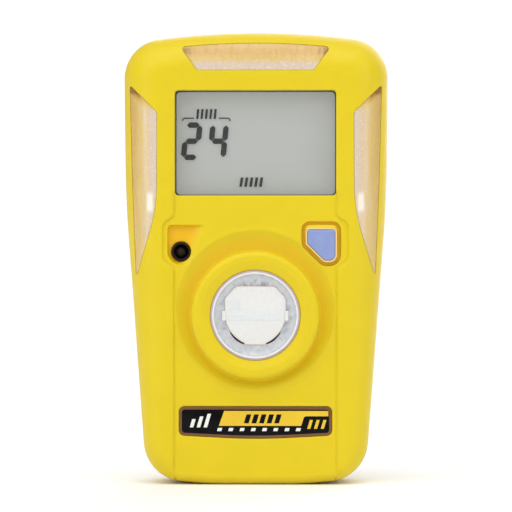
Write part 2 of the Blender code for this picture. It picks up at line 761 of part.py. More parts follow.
def make_vibration_motor():
    """A pager motor whose off-centre weight hangs down at rest."""
    y, z = MOTOR_Y, MOTOR_Z
    motor = cylinder("vibration_motor", (-4, y, z), (4, y, z), 2.0, "steel", 24)
    cut(motor, cylinder("motor_bearing", (2.2, y, z), (5, y, z), 0.7, segments=12))
    cylinder("motor_shaft", (2.5, y, z), (8.2, y, z), 0.4, "steel", 12)
    weight = cylinder("motor_weight", (4.8, y, z), (7.6, y, z), 2.5, "screw_steel", 24)
    cut(
        weight,
        box("weight_flat", (4, y - 3, z + 1.15), (9, y + 3, z + 4)),
        cylinder("weight_bore", (4, y, z), (9, y, z), 0.7, segments=12),
    )
    cradle = box("motor_cradle", (-3.2, BEHIND_BOARD_Y, z - 3.0), (3.2, 1.9, z + 3.0), "black_rubber")
    cut(cradle, cylinder("cradle_seat", (-4, y, z), (4, y, z), 2.0 + GAP, segments=24))


# ---------------------------------------------------------------- labels


def make_labels():
    name_plate = plate("name_plate", [name_plate_outline()], PANEL_Y, PANEL_Y + 0.5, "name_plate")
    round_edges(name_plate, 0.2, 1)
    plate("rear_label", [rectangle(0, 18.0, 12.0, 9.0, 1.0)], REAR_Y - GAP, REAR_Y, "white_plastic")


# ---------------------------------------------------------------- clip


def pivot_cutter(name):
    return cylinder(name, (-7, PIVOT_Y, PIVOT_Z), (7, PIVOT_Y, PIVOT_Z), 1.1, segments=16)


def make_clip_base():
    """The fixed jaw: a plate with two ears for the pivot and a turned-up, toothed end."""
    front_y, back_y = CLIP_PLATE_Y
    base = plate("clip_base", [rectangle(0, 53.0, 5.5, 19.0, 1.0)], front_y, back_y, "steel")
    jaw = box("jaw_lip", (-4.6, front_y + 0.1, 34.1), (4.6, 8.5, 34.9))
    join(base, jaw)
    for side in (-1, 1):
        low, high = (side * 5.15 - 0.35, front_y + 0.2, 55.2), (side * 5.15 + 0.35, 12.0, 60.8)
        join(base, box(f"base_ear_{side}", low, high))
    cut(
        base,
        pivot_cutter("base_pivot_hole"),
        cylinder("base_screw_hole", (0, 5, CLIP_SCREW_Z), (0, 9, CLIP_SCREW_Z), 1.6, segments=16),
    )
    for x in (-3.5, 0.0, 3.5):
        cut(base, box(f"base_tooth_gap_{x}", (x - 0.6, 7.8, 33.5), (x + 0.6, 9, 35.5)))
    return base


def lever_side_profile():
    """The lever's bent strip from the side, as (y, z) along its outer face, from jaw to thumb pad."""
    jaw = [(9.6, 34.4), (10.3, 35.5), (12.9, 40.6), (13.7, 43.0)]
    return jaw + [(14.0, 46.0), (14.0, 70.0), (13.75, 75.0), (13.0, 77.0)]


def make_clip_lever():
    """The moving jaw: a bent strip with two ears inside the base's ears."""
    thickness = LEVER_PLATE_Y[1] - LEVER_PLATE_Y[0]
    outer = [Vector(point) for point in lever_side_profile()]
    inner = []
    for i, point in enumerate(outer):
        ahead = outer[min(i + 1, len(outer) - 1)] - outer[max(i - 1, 0)]
        inner.append(point + Vector((-ahead.y, ahead.x)).normalized() * thickness)
    side = outer + inner[::-1]
    lever = loft("clip_lever", [[(x, p.x, p.y) for p in side] for x in (-4.3, 4.3)], "steel")
    for sign in (-1, 1):
        ear = box(f"lever_ear_{sign}", (sign * 3.95 - 0.35, 8.7, 55.4), (sign * 3.95 + 0.35, 13.5, 60.6))
        join(lever, ear)
    cut(lever, pivot_cutter("lever_pivot_hole"))
    move_origin(lever, (0, PIVOT_Y, PIVOT_Z))
    return lever


def make_clip_pin():
    head = [(0, 6.5), (0.9, 6.5), (1.5, 6.2), (1.5, 5.8), (0.8, 5.8)]
    profile = head + [(radius, -height) for radius, height in reversed(head)]
    turned("clip_pin", profile, (0, PIVOT_Y, PIVOT_Z), "steel", 16, along="+X")


def make_clip_spring():
    """A torsion spring round the pin, with one leg on the base and one under the lever."""
    turns, steps, radius, wire_radius = 5, 12, 1.75, 0.3
    half_width = 2.4
    points = [(-half_width, 8.15 + wire_radius, PIVOT_Z + 5.5)]
    first, last = -math.pi / 2, math.pi / 2 + (turns - 1) * math.tau
    count = (turns - 1) * steps + steps // 2
    for i in range(count + 1):
        share = i / count
        angle = first + (last - first) * share
        across = -half_width + 2 * half_width * share
        points.append((across, PIVOT_Y + radius * math.sin(angle), PIVOT_Z + radius * math.cos(angle)))
    points.append((half_width, 12.75 - wire_radius, PIVOT_Z + 5.5))
    wire("clip_spring", points, wire_radius, "steel")


def make_clip_screw():
    profile = [(0, 9.1), (1.6, 9.1), (2.4, 8.5), (2.4, 8.0), (1.2, 8.0), (1.2, 2.9), (0, 2.5)]
    screw = turned("clip_screw", profile, (0, 0, CLIP_SCREW_Z), "screw_steel", 20, along="+Y")
    cut(screw, box("clip_screw_slot", (-2.0, 8.7, CLIP_SCREW_Z - 0.3), (2.0, 10, CLIP_SCREW_Z + 0.3)))


# ---------------------------------------------------------------- assembly

clear_scene()
PARTS = new_collection("gas_detector")
CUTTERS = new_collection("cutters")

make_front_cover()
make_rear_cover()
make_case_seal()
make_cover_screws()
make_alarm_lenses()
make_alarm_lamps()
make_display()
make_button()
make_sounder()
make_sensor()
make_circuit_board()
make_board_components()
make_battery()
make_vibration_motor()
make_labels()
make_clip_base()
make_clip_lever()
make_clip_pin()
make_clip_spring()
make_clip_screw()
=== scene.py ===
"""Looks of the clip-on gas detector: fine shells, windows, display, sensor and clip round the frame.

Lengths are in millimetres and heights over the (x, z) plane are values of y, as in the CAD model.
X runs across the detector, Y through it with the display facing -Y, and Z up it.
"""

import math

import bmesh
import bpy
import numpy as np
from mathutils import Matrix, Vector
from mathutils.geometry import delaunay_2d_cdt


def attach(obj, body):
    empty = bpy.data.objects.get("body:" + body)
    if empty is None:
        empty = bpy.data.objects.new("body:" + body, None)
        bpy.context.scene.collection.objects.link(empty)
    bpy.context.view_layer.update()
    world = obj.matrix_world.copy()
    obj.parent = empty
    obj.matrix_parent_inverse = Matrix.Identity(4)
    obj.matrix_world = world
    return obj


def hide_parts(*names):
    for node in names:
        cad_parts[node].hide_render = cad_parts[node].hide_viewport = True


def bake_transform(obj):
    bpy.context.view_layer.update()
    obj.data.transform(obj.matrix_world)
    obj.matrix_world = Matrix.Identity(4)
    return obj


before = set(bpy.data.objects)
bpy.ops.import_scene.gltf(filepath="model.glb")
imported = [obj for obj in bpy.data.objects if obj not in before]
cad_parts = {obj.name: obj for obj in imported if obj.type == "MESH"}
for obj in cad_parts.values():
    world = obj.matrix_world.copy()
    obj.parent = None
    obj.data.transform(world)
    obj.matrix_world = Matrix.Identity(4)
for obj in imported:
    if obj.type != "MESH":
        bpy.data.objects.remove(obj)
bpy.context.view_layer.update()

MM = 0.001
GAP = 0.3  # between pieces in the CAD model
WINDOW_FIT = 0.03
PLATE_GAP = 0.2

# Case.
FACE_Y = -11.8
REAR_Y = 7.0
FRONT_RIM_Y = -0.88
REAR_RIM_Y = -0.82
WALL = 1.6
SIDE_WALL = 0.6
PANEL_Y = FACE_Y + 0.33
EDGE_RADIUS = 0.25
RIM_BEVEL = 0.14
WINDOW_EDGE = 0.1
LENS_EDGE = 0.08
LENS_RECESS = 0.1
LENS_THICKNESS = 1.6
LENS_BACK_Y = -5.8  # no window reaches further in
SHEET_START = 0.5  # the rounding is built in rings up to this distance from the outline
SHEET_STEP, REAR_STEP, INSIDE_STEP = 0.45, 0.7, 1.6
NOTCH_X = 15.4

# Sensor housing.
SENSOR_Z = 32.5
BOSS_CROWN_Y = -14.0
BOSS_RADIUS = 12.3
BOSS_FILLET = 0.35
BORE_RADIUS = 8.6
SOCKET_RADIUS = 9.9
SOCKET_TUBE_RADIUS = 11.2
DISH_CENTRE = (0.0, 33.5)
DISH_RADIUS = 15.0
DISH_DEPTH = 0.75
DISH_SLOPE = 3.0

# Display, buzzer and key.
DISPLAY_Z = 65.46
DISPLAY_HALF = (15.44, 10.06)
BUZZER_AT = (-14.25, 44.62)
PORT_RADIUS = 1.88
SCOOP_DEPTH = 0.9
KEY_CORNERS = [(9.95, 48.85, 0.5), (9.95, 46.2, 0.5), (13.2, 42.95, 1.0)]
KEY_CORNERS += [(15.25, 42.95, 1.1), (15.25, 48.85, 0.5)]
BEZEL_RISE = 0.45
BEZEL_WIDTH = 0.75
GROOVE_Y = -10.75  # the floor of the groove round the bezel

# Rear.
SCREW_PLACES = [(16.2, 7.0), (19.2, 79.8)]
CLIP_SCREW_Z = 66.0
CLIP_Z = 53.0
LABEL_Z = 18.0
LEVER_HALF = 4.3
LEVER_THICKNESS = 0.8
PIVOT_Y, PIVOT_Z = 10.4, 58.0
SPRING_RADIUS, SPRING_WIRE = 1.75, 0.3
JAW_Z = 34.5
CLIP_BED_Y = 6.6
LABEL_BED_Y = 6.4
COUNTERBORE_FLOOR_Y = 2.6
CLIP_PILLAR_Y = 2.2

TURN_STEPS, HOLE_STEPS = 96, 40
SHARP_ANGLE = math.radians(35)
WELD_DISTANCE = 0.005
WORLD_LIGHT = 0.45
BACKDROP_LIGHT = 1.05
# painted light: the display reflector's glow, which evens out the shade in its recess
DISPLAY_PAINTED_GLOW = 0.4
# share of the painted shade colour the shell takes towards its rim and over the rear
RIM_PAINTED_SHADE = 0.3


# ---------------------------------------------------------------- outlines in (x, z)


def rounded(corners, closed=True, longest=0.5, angle_step=10.0):
    """Points along a line through corners (x, z, radius), each turned into an arc."""
    count = len(corners)
    points = []
    for i, (x, z, radius) in enumerate(corners):
        if radius == 0 or (not closed and i in (0, count - 1)):
            points.append(np.array((x, z), float))
            continue
        here = Vector((x, z))
        before = (Vector(corners[i - 1][:2]) - here).normalized()
        after = (Vector(corners[(i + 1) % count][:2]) - here).normalized()
        half = before.angle(after) / 2
        turn = math.pi - 2 * half
        centre = here + (before + after).normalized() * radius / math.sin(half)
        start = np.array(here + before * radius / math.tan(half) - centre)
        across = start[::-1] * ((-1, 1) if before.x * after.y - before.y * after.x < 0 else (1, -1))
        steps = max(2, math.ceil(math.degrees(turn) / angle_step), math.ceil(radius * turn / longest))
        for step in range(steps + 1):
            angle = turn * step / steps
            points.append(np.array(centre) + start * math.cos(angle) + across * math.sin(angle))
    return divided(np.array(points), longest, closed)


def divided(points, longest, closed=True):
    """The same line with more points, none further apart than longest."""
    ends = np.roll(points, -1, axis=0) if closed else points[1:]
    made = []
    for start, end in zip(points, ends):
        parts = max(1, math.ceil(np.linalg.norm(end - start) / longest - 0.01))
        made += [start + (end - start) * i / parts for i in range(parts)]
    return np.array(made if closed else made + [points[-1]])


def unit(vectors):
    return vectors / np.linalg.norm(vectors, axis=1, keepdims=True)


def left_of(steps):
    """Each step of a line turned a quarter to the left."""
    return np.column_stack((-steps[:, 1], steps[:, 0]))


def inward_normals(loop):
    """Each point's inward direction on an anticlockwise loop, lengthened at the corners."""
    arrive = left_of(unit(loop - np.roll(loop, 1, axis=0)))
    leave = left_of(unit(np.roll(loop, -1, axis=0) - loop))
    both = unit(arrive + leave)
    return both / (both * arrive).sum(axis=1, keepdims=True)


def inset(loop, distance):
    return loop + inward_normals(loop) * distance


def flipped(corners):
    return [(-x, *rest) for x, *rest in reversed(corners)]


def mirrored(loop):
    return (loop * (-1, 1))[::-1]


def both_sides(corners, *last):
    """An outline from the corners of its right half, anticlockwise from the foot."""
    return [*corners, *last, *flipped(corners)]


def bar(x, z, half_x, half_z, radius, lean=0.0, **options):
    """A rectangle round (x, z), which can lean to the right as it rises."""
    corners = [(-half_x, -half_z), (half_x, -half_z), (half_x, half_z), (-half_x, half_z)]
    return rounded([(x + dx + dz * lean, z + dz, radius) for dx, dz in corners], **options)


def leaning(x, z, half_x, half_z, lean=0.3):
    return bar(x, z, half_x, half_z, 0.06, lean, angle_step=30)


def display_outline(extra_x, extra_z, radius):
    """The display's opening, made larger all round."""
    return bar(0, DISPLAY_Z, DISPLAY_HALF[0] + extra_x, DISPLAY_HALF[1] + extra_z, radius)


def circle(x, z, radius, steps=TURN_STEPS):
    angles = np.arange(steps) * math.tau / steps
    return np.column_stack((x + radius * np.cos(angles), z + radius * np.sin(angles)))


def sensor_circle(radius):
    return circle(0, SENSOR_Z, radius)


def matched(loop, share):
    """The loop read at equal shares of its length, starting where the other loop starts."""
    closed = np.vstack((loop, loop[:1]))
    length = np.concatenate(([0], np.linalg.norm(np.diff(closed, axis=0), axis=1).cumsum()))
    at = share * length[-1]
    return np.column_stack([np.interp(at, length, closed[:, k]) for k in (0, 1)])


def case_outline():
    """The case seen from the front, with each point's inward direction; closer points at the notches."""
    right = [(9.0, 0.0, 60.0), (21.15, 1.3, 7.8), (25.25, 54.0, 240.0), (25.6, 84.8, 7.6)]
    loop = rounded(both_sides(right, (0.0, 88.14, 144.0)), angle_step=6.0)
    rows = np.hstack((loop, unit(inward_normals(loop))))
    made = []
    for start, end in zip(rows, np.roll(rows, -1, axis=0)):
        by_notch = abs(abs(start[0]) - NOTCH_X) < 1.2 and start[1] < 2.0
        parts = 6 if by_notch else 1
        made += [start + (end - start) * i / parts for i in range(parts)]
    made = np.array(made)
    return made[:, :2], unit(made[:, 2:])


def alarm_windows():
    corners = [(24.25, 76.75, 0.22), (18.85, 71.3, 1.2), (18.9, 53.0, 30.0), (23.0, 39.3, 0.22)]
    right = rounded([*corners, (23.75, 58.0, 300.0)], longest=0.4)
    left = [(-14.5, 83.95, 0.6), (-11.2, 79.35, 1.0)]
    top = rounded([*left, *flipped(left), (0, 85.25, 140.0)], longest=0.4)
    return {"right": right, "left": mirrored(right), "top": top}


def panel_outline():
    lower = [(15.6, -3.0, 0), (15.6, 41.4, 1.2), (17.75, 42.9, 1.5)]
    upper = [(17.75, 50.0, 1.5), (15.6, 51.4, 1.2), (15.6, 56.0, 0)]
    return rounded(both_sides(lower + upper), longest=0.3)


def plate_outline(half_x, foot_z, middle_foot_z, top_z, radius, longest):
    """A plate whose lower edge bows downwards."""
    lower = [(-half_x, foot_z, radius), (0, middle_foot_z, 120.0), (half_x, foot_z, radius)]
    return rounded([*lower, (half_x, top_z, radius), (-half_x, top_z, radius)], longest=longest)


def bezel_outline(width):
    top = max(z for _, z, _ in KEY_CORNERS)
    corners = [(x, z + BEZEL_RISE if z == top else z, radius) for x, z, radius in KEY_CORNERS]
    return inset(rounded(corners, longest=0.3), -width)


NAME_PLATE = plate_outline(14.45, 9.65, 8.88, 14.83, 0.9, 0.4)
PANEL = panel_outline()
SCOOP = [(-16.8, 49.7, 0.8), (-16.8, 42.2, 2.5), (-12.6, 42.2, 1.6), (-9.3, 49.7, 0.8)]
SCOOP = rounded(SCOOP, longest=0.25)


# ---------------------------------------------------------------- distances and heights


def in_parts(points):
    """The points in parts that are small enough to compare with every step of a loop."""
    return np.array_split(points, len(points) // 2000 + 1)


def are_inside(points, loop):
    ends = np.roll(loop, -1, axis=0)
    across, rise = (ends - loop).T
    rise = np.where(rise == 0, 1e-9, rise)
    crossings = []
    for part in in_parts(points):
        x, z = part.T[:, :, None]
        spans = (loop[:, 1] > z) != (ends[:, 1] > z)
        crossings.append((spans & (x < loop[:, 0] + across * (z - loop[:, 1]) / rise)).sum(axis=1))
    return np.concatenate(crossings) % 2 == 1


def measure(points, loop, *values):
    """Each point's distance to the loop, positive inside, and the loop's values where it is nearest."""
    along = np.roll(loop, -1, axis=0) - loop
    squared = (along**2).sum(axis=1)
    found = []
    for part in in_parts(points):
        away = part[:, None] - loop
        share = ((away * along).sum(axis=2) / squared).clip(0, 1)
        distance = np.linalg.norm(away - share[..., None] * along, axis=2)
        rows, nearest = np.arange(len(part)), distance.argmin(axis=1)
        t = share[rows, nearest]
        read = [value[nearest] * (1 - t) + np.roll(value, -1)[nearest] * t for value in values]
        found.append([distance[rows, nearest], *read])
    distance, *read = np.concatenate(found, axis=1)
    return [distance * np.where(are_inside(points, loop), 1, -1), *read]


def smooth_step(value, low, high):
    t = ((value - low) / (high - low)).clip(0, 1)
    return t * t * (3 - 2 * t)


def ridge(distance, half):
    """1 at distance 0, falling off smoothly over about half on either side."""
    return np.exp(-((distance / half) ** 2))


def quarter_turn(radius, steps):
    """(inward, down) pairs round an edge, from its flat face to its wall."""
    angles = np.linspace(0, math.pi / 2, steps + 1)
    return [(radius * (1 - math.sin(angle)), radius * (1 - math.cos(angle))) for angle in angles]


def front_rounding(z, across):
    """Width and depth of the front edge's rounding; across is the squared x part of the normal."""
    side = smooth_step(z, 5.0, 45.0)
    at_top = z > 40.0
    width = across * (4.0 + 3.0 * side) + (1 - across) * np.where(at_top, 6.5, 2.6)
    depth = across * (5.0 + 3.0 * side) + (1 - across) * np.where(at_top, 7.0, 2.6)
    return width, depth


def rear_rounding(z, across):
    reach = across * 4.0 + (1 - across) * np.where(z > 40.0, 4.0, 2.6)
    return reach, reach


def lifted(loop, y):
    """The loop in space, at one y or at one for each point."""
    return np.column_stack((loop[:, 0], np.broadcast_to(y, len(loop)), loop[:, 1]))


class Skin:
    """Half of the case: its face, and the rounding from there to the straight side."""

    def __init__(self, face_y, rim_y, rounding, side_wall=0.0, wall=0.0, start=SHEET_START):
        outline, self.normals = case_outline()
        width, depth = rounding(outline[:, 1], self.normals[:, 0] ** 2)
        self.to_rim = 1 if rim_y > face_y else -1
        self.face_y = face_y + self.to_rim * wall
        self.rim_y = rim_y
        self.loop = outline + self.normals * side_wall
        self.width = width - side_wall
        self.depth = depth - wall
        self.start = start

    def height(self, points):
        distance, width, depth = measure(points, self.loop, self.width, self.depth)
        slope = (1 - distance.clip(0) / width).clip(0, 1)
        return self.face_y + self.to_rim * depth * (1 - np.sqrt(1 - slope**2))

    def rings(self, steps):
        """Rings from the bevelled rim, up the side and round to the sheet's start inside the outline."""
        last = np.arccos(1 - self.start / self.width)
        places = [(RIM_BEVEL, self.rim_y), (0.0, self.rim_y - self.to_rim * RIM_BEVEL)]
        for angle in (last * step / steps for step in range(steps + 1)):
            y = self.face_y + self.to_rim * self.depth * (1 - np.sin(angle))
            places.append(((self.width * (1 - np.cos(angle)))[:, None], y))
        return [lifted(self.loop + self.normals * inward, y) for inward, y in places]


FRONT_SKIN = Skin(FACE_Y, FRONT_RIM_Y, front_rounding)
FRONT_INSIDE = Skin(FACE_Y, FRONT_RIM_Y, front_rounding, SIDE_WALL, WALL, 0.05)
REAR_SKIN = Skin(REAR_Y, REAR_RIM_Y, rear_rounding)
REAR_INSIDE = Skin(REAR_Y, REAR_RIM_Y, rear_rounding, WALL, WALL)


def notched(points):
    """The little notches in the bottom edge, either side of the panel."""
    lift = 0.55 * ridge(abs(points[:, 0]) - NOTCH_X, 0.22) * (1 - points[:, 2] / 1.6).clip(0, 1)
    return points + lift[:, None] * (0, 0, 1)


def front_height(points):
    """The front's relief: the recessed panel, the dish with its raised lip, and the buzzer's scoop."""
    y = FRONT_SKIN.height(points)
    from_panel = measure(points, PANEL)[0]
    inside = smooth_step(from_panel, -0.16, 0.16)
    y = y + inside * (PANEL_Y - y).clip(0)
    y += 0.1 * ridge(from_panel - 0.05, 0.17) * (points[:, 1] < 56.0)

    radius = np.linalg.norm(points - DISH_CENTRE, axis=1)
    share = ((DISH_RADIUS + 0.1 - radius) / DISH_SLOPE).clip(0, 1)
    dish = PANEL_Y + DISH_DEPTH * np.sin(share * math.pi / 2)
    lip = 0.16 * ridge(radius - DISH_RADIUS - 0.42, 0.3) * inside
    y = np.where(share > 0, np.maximum(y, dish), y) - lip * smooth_step(-y, -PANEL_Y - 0.2, -PANEL_Y)

    x, z = points.T
    diagonal = (-(x + 12.3) * 7.0 + (z - 42.6) * 2.8) / math.hypot(7.0, 2.8)
    edge = smooth_step(measure(points, SCOOP)[0], -0.1, 0.22)
    return y + SCOOP_DEPTH * edge * smooth_step(diagonal, -0.4, 2.9)


def lens_height(points):
    return FRONT_SKIN.height(points) + LENS_RECESS


def lens_back_height(points):
    return np.minimum(lens_height(points) + LENS_THICKNESS, LENS_BACK_Y)


# ---------------------------------------------------------------- meshes


class Shell:
    """A mesh put together from rings of points in millimetres."""

    def __init__(self):
        self.points = []
        self.faces = []

    def ring(self, points):
        first = len(self.points)
        self.points += [tuple(point) for point in points]
        return list(range(first, len(self.points)))

    def flat_ring(self, loop, y):
        return self.ring(lifted(loop, y))

    def side_ring(self, loop, x):
        return self.ring(np.column_stack((np.full(len(loop), x), loop)))

    def band(self, *rings):
        """Joins rings in turn. Returns the last."""
        for first, second in zip(rings, rings[1:]):
            for i in range(len(first)):
                after = (i + 1) % len(first)
                self.faces.append((first[i], first[after], second[after], second[i]))
        return rings[-1]

    def stack(self, places, closed=False):
        """Rings at (loop, y) places, joined in turn. Returns them."""
        rings = [self.flat_ring(loop, y) for loop, y in places]
        self.band(*rings, *(rings[:1] if closed else ()))
        return rings

    def cap(self, *rings):
        self.faces += [tuple(ring) for ring in rings]

    def fill(self, outer, holes, spots=(), height=None):
        """Triangles inside the outer ring and outside the holes, through loose spots at their heights."""
        fixed, edges = [], []
        for ring in (outer, *holes):
            first = len(fixed)
            edges += [(first + i, first + (i + 1) % len(ring)) for i in range(len(ring))]
            fixed += ring
        flat = [Vector((self.points[i][0], self.points[i][2])) for i in fixed]
        flat += [Vector(spot) for spot in spots]
        spread, _, triangles, sources, _, _ = delaunay_2d_cdt(flat, edges, [], 0, 1e-7)
        loose = np.array([tuple(point) for point in spread])
        heights = height(loose) if height else np.zeros(len(loose))
        index = []
        for (x, z), y, source in zip(loose, heights, sources):
            if source and source[0] < len(fixed):
                index.append(fixed[source[0]])
            else:
                index.append(len(self.points))
                self.points.append((x, y, z))
        made = [tuple(index[i] for i in triangle) for triangle in triangles]
        self.faces += self.enclosed(made, outer, holes)

    def enclosed(self, triangles, outer, holes):
        """The triangles on the left of the outer ring and on the right of every hole's."""
        to_keep = {(a, b) for a, b in zip(outer, outer[1:] + outer[:1])}
        to_keep |= {(b, a) for hole in holes for a, b in zip(hole, hole[1:] + hole[:1])}
        on_ring = set(outer).union(*holes)
        kept, waiting, beside = {}, [], {}
        for number, (a, b, c) in enumerate(triangles):
            sides = ((a, b), (b, c), (c, a))
            beside.update({side: number for side in sides})
            if any(side in to_keep for side in sides):
                kept[number] = True
            elif any(side[::-1] in to_keep for side in sides):
                kept[number] = False
            elif not on_ring.issuperset((a, b, c)):
                kept[number] = True
            else:
                waiting.append(number)
        while waiting:  # a triangle with all its corners on rings is kept where its neighbours are
            number = waiting.pop(0)
            a, b, c = triangles[number]
            known = [kept[beside[side]] for side in ((b, a), (c, b), (a, c)) if beside.get(side) in kept]
            if known:
                kept[number] = known[0]
            else:
                waiting.append(number)
        return [triangle for number, triangle in enumerate(triangles) if kept[number]]

    def edge(self, loop, height, to_rim, radius=EDGE_RADIUS, steps=3):
        """A rounded edge round an opening, or with a negative radius and to_rim round a raised piece.

        Returns the ring in the sheet and the one at the wall's top.
        """
        moved = [(inset(loop, -outward), down) for outward, down in quarter_turn(radius, steps)]
        rings = self.stack([(line, height(line) + to_rim * down) for line, down in moved])
        return rings[0], rings[-1]

    def turn(self, profile, x, z, steps=TURN_STEPS, closed=False):
        """Turns (radius, height) pairs about the line along -Y at (x, z); a radius of 0 makes a pole."""
        rings = []
        for radius, height in profile:
            loop = circle(x, z, radius, steps)
            rings.append(self.flat_ring(loop if radius > 0 else loop[:1], -height))
        for first, second in zip(rings, rings[1:] + rings[:1] if closed else rings[1:]):
            if len(first) == len(second):
                self.band(first, second)
            else:
                (pole,), ring = sorted((first, second), key=len)
                self.faces += [(pole, ring[i], ring[(i + 1) % steps]) for i in range(steps)]
        return rings

    def slab(self, loop, front, back, front_radius=0.0, back_radius=0.0, sideways=False):
        """A flat piece with rounded edges, parallel to the display or, from a (y, z) outline, across X."""
        place = self.side_ring if sideways else self.flat_ring
        sides = []
        for level, radius, to_middle in ((front, front_radius, 1), (back, back_radius, -1)):
            rings = []
            for inward, down in quarter_turn(radius, 3) if radius else [(0, 0)]:
                rings.append(place(inset(loop, inward) if inward else loop, level + to_middle * down))
            sides.append(rings)
        self.band(*sides[0], *sides[1][::-1])
        self.cap(sides[0][0], sides[1][0])

    def build(self, name, material, replaces=None, body="case", sharp=38.0):
        """Makes the piece with its material, parents it to its body's empty, and hides the CAD node it
        replaces.
        """
        bm = bmesh.new()
        verts = [bm.verts.new(Vector(point) * MM) for point in self.points]
        for face in self.faces:
            bm.faces.new([verts[i] for i in face])
        bmesh.ops.remove_doubles(bm, verts=bm.verts, dist=1e-8)
        bmesh.ops.delete(bm, geom=[vert for vert in bm.verts if not vert.link_faces], context="VERTS")
        bmesh.ops.recalc_face_normals(bm, faces=bm.faces)
        mesh = bpy.data.meshes.new(name)
        bm.to_mesh(mesh)
        bm.free()
        mesh.materials.append(MATERIALS[material])
        mesh.shade_smooth()
        mesh.set_sharp_from_angle(angle=math.radians(sharp))
        item = link(name, mesh)
        if body:
            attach(item, body)
        if replaces:
            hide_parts(replaces)
        return item


def link(name, data):
    item = bpy.data.objects.new(name, data)
    bpy.context.scene.collection.objects.link(item)
    return item


def build_slabs(name, material, slabs, replaces=None):
    """A piece made of flat slabs, each an outline with its front, its back and its edges' radii."""
    shell = Shell()
    for slab in slabs:
        shell.slab(*slab)
    shell.build(name, material, replaces)


def lattice(step=SHEET_STEP):
    """A triangular grid over the whole front."""
    rows = np.arange(0.0, 88.0, step * math.sqrt(3) / 2)
    columns = np.arange(-27.0, 27.0, step)
    return np.array([(x + step / 2 * (i % 2), z) for i, z in enumerate(rows) for x in columns])


def sheet_spots(skin, openings, features=(), step=SHEET_STEP):
    """Loose points for a sheet: rings near its edge, loops along its features, and a grid elsewhere."""
    near = [skin.loop + skin.normals * distance for distance in (0.95, 1.35, 1.8, 2.3)]
    grid = lattice(step)
    grid = grid[measure(grid, skin.loop)[0] > 2.6]
    for loop in features:
        grid = grid[abs(measure(grid, loop)[0]) > step * 0.45]
    spots = np.vstack((*near, *features, grid))
    spots = spots[measure(spots, skin.loop)[0] > skin.start + 0.2]
    for loop in openings:
        spots = spots[measure(spots, loop)[0] < -step * 0.4]
    return spots


# ---------------------------------------------------------------- materials


class Tree:
    """A node tree, with one call to add a node, set it up and wire its inputs."""

    def __init__(self, tree):
        self.tree = tree

    def node(self, kind, inputs=(), **settings):
        made = self.tree.nodes.new(kind)
        for name, value in settings.items():
            setattr(made, name, value)
        self.wire(made, inputs)
        return made

    def wire(self, node, inputs):
        """Links or sets the node's inputs, each a socket or a value."""
        for socket, value in dict(inputs).items():
            if isinstance(value, bpy.types.NodeSocket):
                self.tree.links.new(value, node.inputs[socket])
            else:
                node.inputs[socket].default_value = value


class Graph(Tree):
    """A node material in the making."""

    def __init__(self, name, roughness=0.5, metallic=0.0, **sockets):
        self.material = bpy.data.materials.new(name)
        self.material.use_nodes = True
        super().__init__(self.material.node_tree)
        self.shader = self.tree.nodes["Principled BSDF"]
        self.wire(self.shader, {"Roughness": roughness, "Metallic": metallic})
        self.wire(self.shader, {name.replace("_", " "): value for name, value in sockets.items()})
        self.place = self.node("ShaderNodeTexCoord").outputs["Object"]

    def texture(self, kind, size, stretch, inputs=(), **settings):
        """A texture whose features are about size millimetres across."""
        scaled = self.node("ShaderNodeMapping", {"Vector": self.place, "Scale": stretch})
        inputs = {"Vector": scaled.outputs["Vector"], "Scale": 1 / (size * MM), **dict(inputs)}
        return self.node(kind, inputs, **settings).outputs

    def noise(self, size, detail=3.0, roughness=0.55, stretch=(1, 1, 1), distortion=0.0):
        inputs = {"Detail": detail, "Roughness": roughness, "Distortion": distortion}
        return self.texture("ShaderNodeTexNoise", size, stretch, inputs)["Fac"]

    def ramp(self, factor, *stops):
        """A colour ramp through (position, colour) stops."""
        made = self.node("ShaderNodeValToRGB", {"Fac": factor})
        elements = made.color_ramp.elements
        while len(elements) < len(stops):
            elements.new(0.5)
        for element, (position, colour) in zip(elements, stops):
            element.position = position
            element.color = (*colour, 1.0)
        return made.outputs["Color"]

    def mix(self, factor, first, second):
        """From the first colour to the second, each a socket or its red, green and blue."""
        first, second = [c if isinstance(c, bpy.types.NodeSocket) else (*c, 1.0) for c in (first, second)]
        return self.node("ShaderNodeMix", {0: factor, 6: first, 7: second}, data_type="RGBA").outputs[2]

    def math(self, operation, *values):
        return self.node("ShaderNodeMath", dict(enumerate(values)), operation=operation).outputs["Value"]

    def times(self, first, second):
        return self.math("MULTIPLY", first, second)

    def plus(self, first, second):
        return self.math("ADD", first, second)

    def size(self, value, centre=None):
        """How far a value is from 0, or from the centre."""
        return self.math("ABSOLUTE", value if centre is None else self.math("SUBTRACT", value, centre))

    def radius(self, x, z):
        return self.math("SQRT", self.plus(self.times(x, x), self.times(z, z)))

    def range(self, value, low, high, to_low=0.0, to_high=1.0):
        inputs = {"Value": value, "From Min": low, "From Max": high, "To Min": to_low, "To Max": to_high}
        return self.node("ShaderNodeMapRange", inputs).outputs["Result"]

    def spread(self, noise, to_low, to_high):
        """The noise's usual values, spread from to_low to to_high."""
        return self.range(noise, 0.3, 0.7, to_low, to_high)

    def axes(self):
        """The place's x, y and z in millimetres."""
        parts = self.node("ShaderNodeSeparateXYZ", {"Vector": self.place}).outputs
        return [self.times(part, 1 / MM) for part in parts]

    def finish(self, base, gloss, *reliefs):
        """Wires up the colour, the roughness and each relief, a height from 0 to 1 with its depth."""
        self.wire(self.shader, {"Base Color": base, "Roughness": gloss})
        under = {}
        for height, depth in reliefs:
            inputs = {"Height": height, "Strength": 1.0, "Distance": depth * MM, **under}
            under = {"Normal": self.node("ShaderNodeBump", inputs).outputs["Normal"]}
        self.wire(self.shader, under)
        return self.material


def shade(colour, factor):
    return tuple(min(1.0, part * factor) for part in colour)


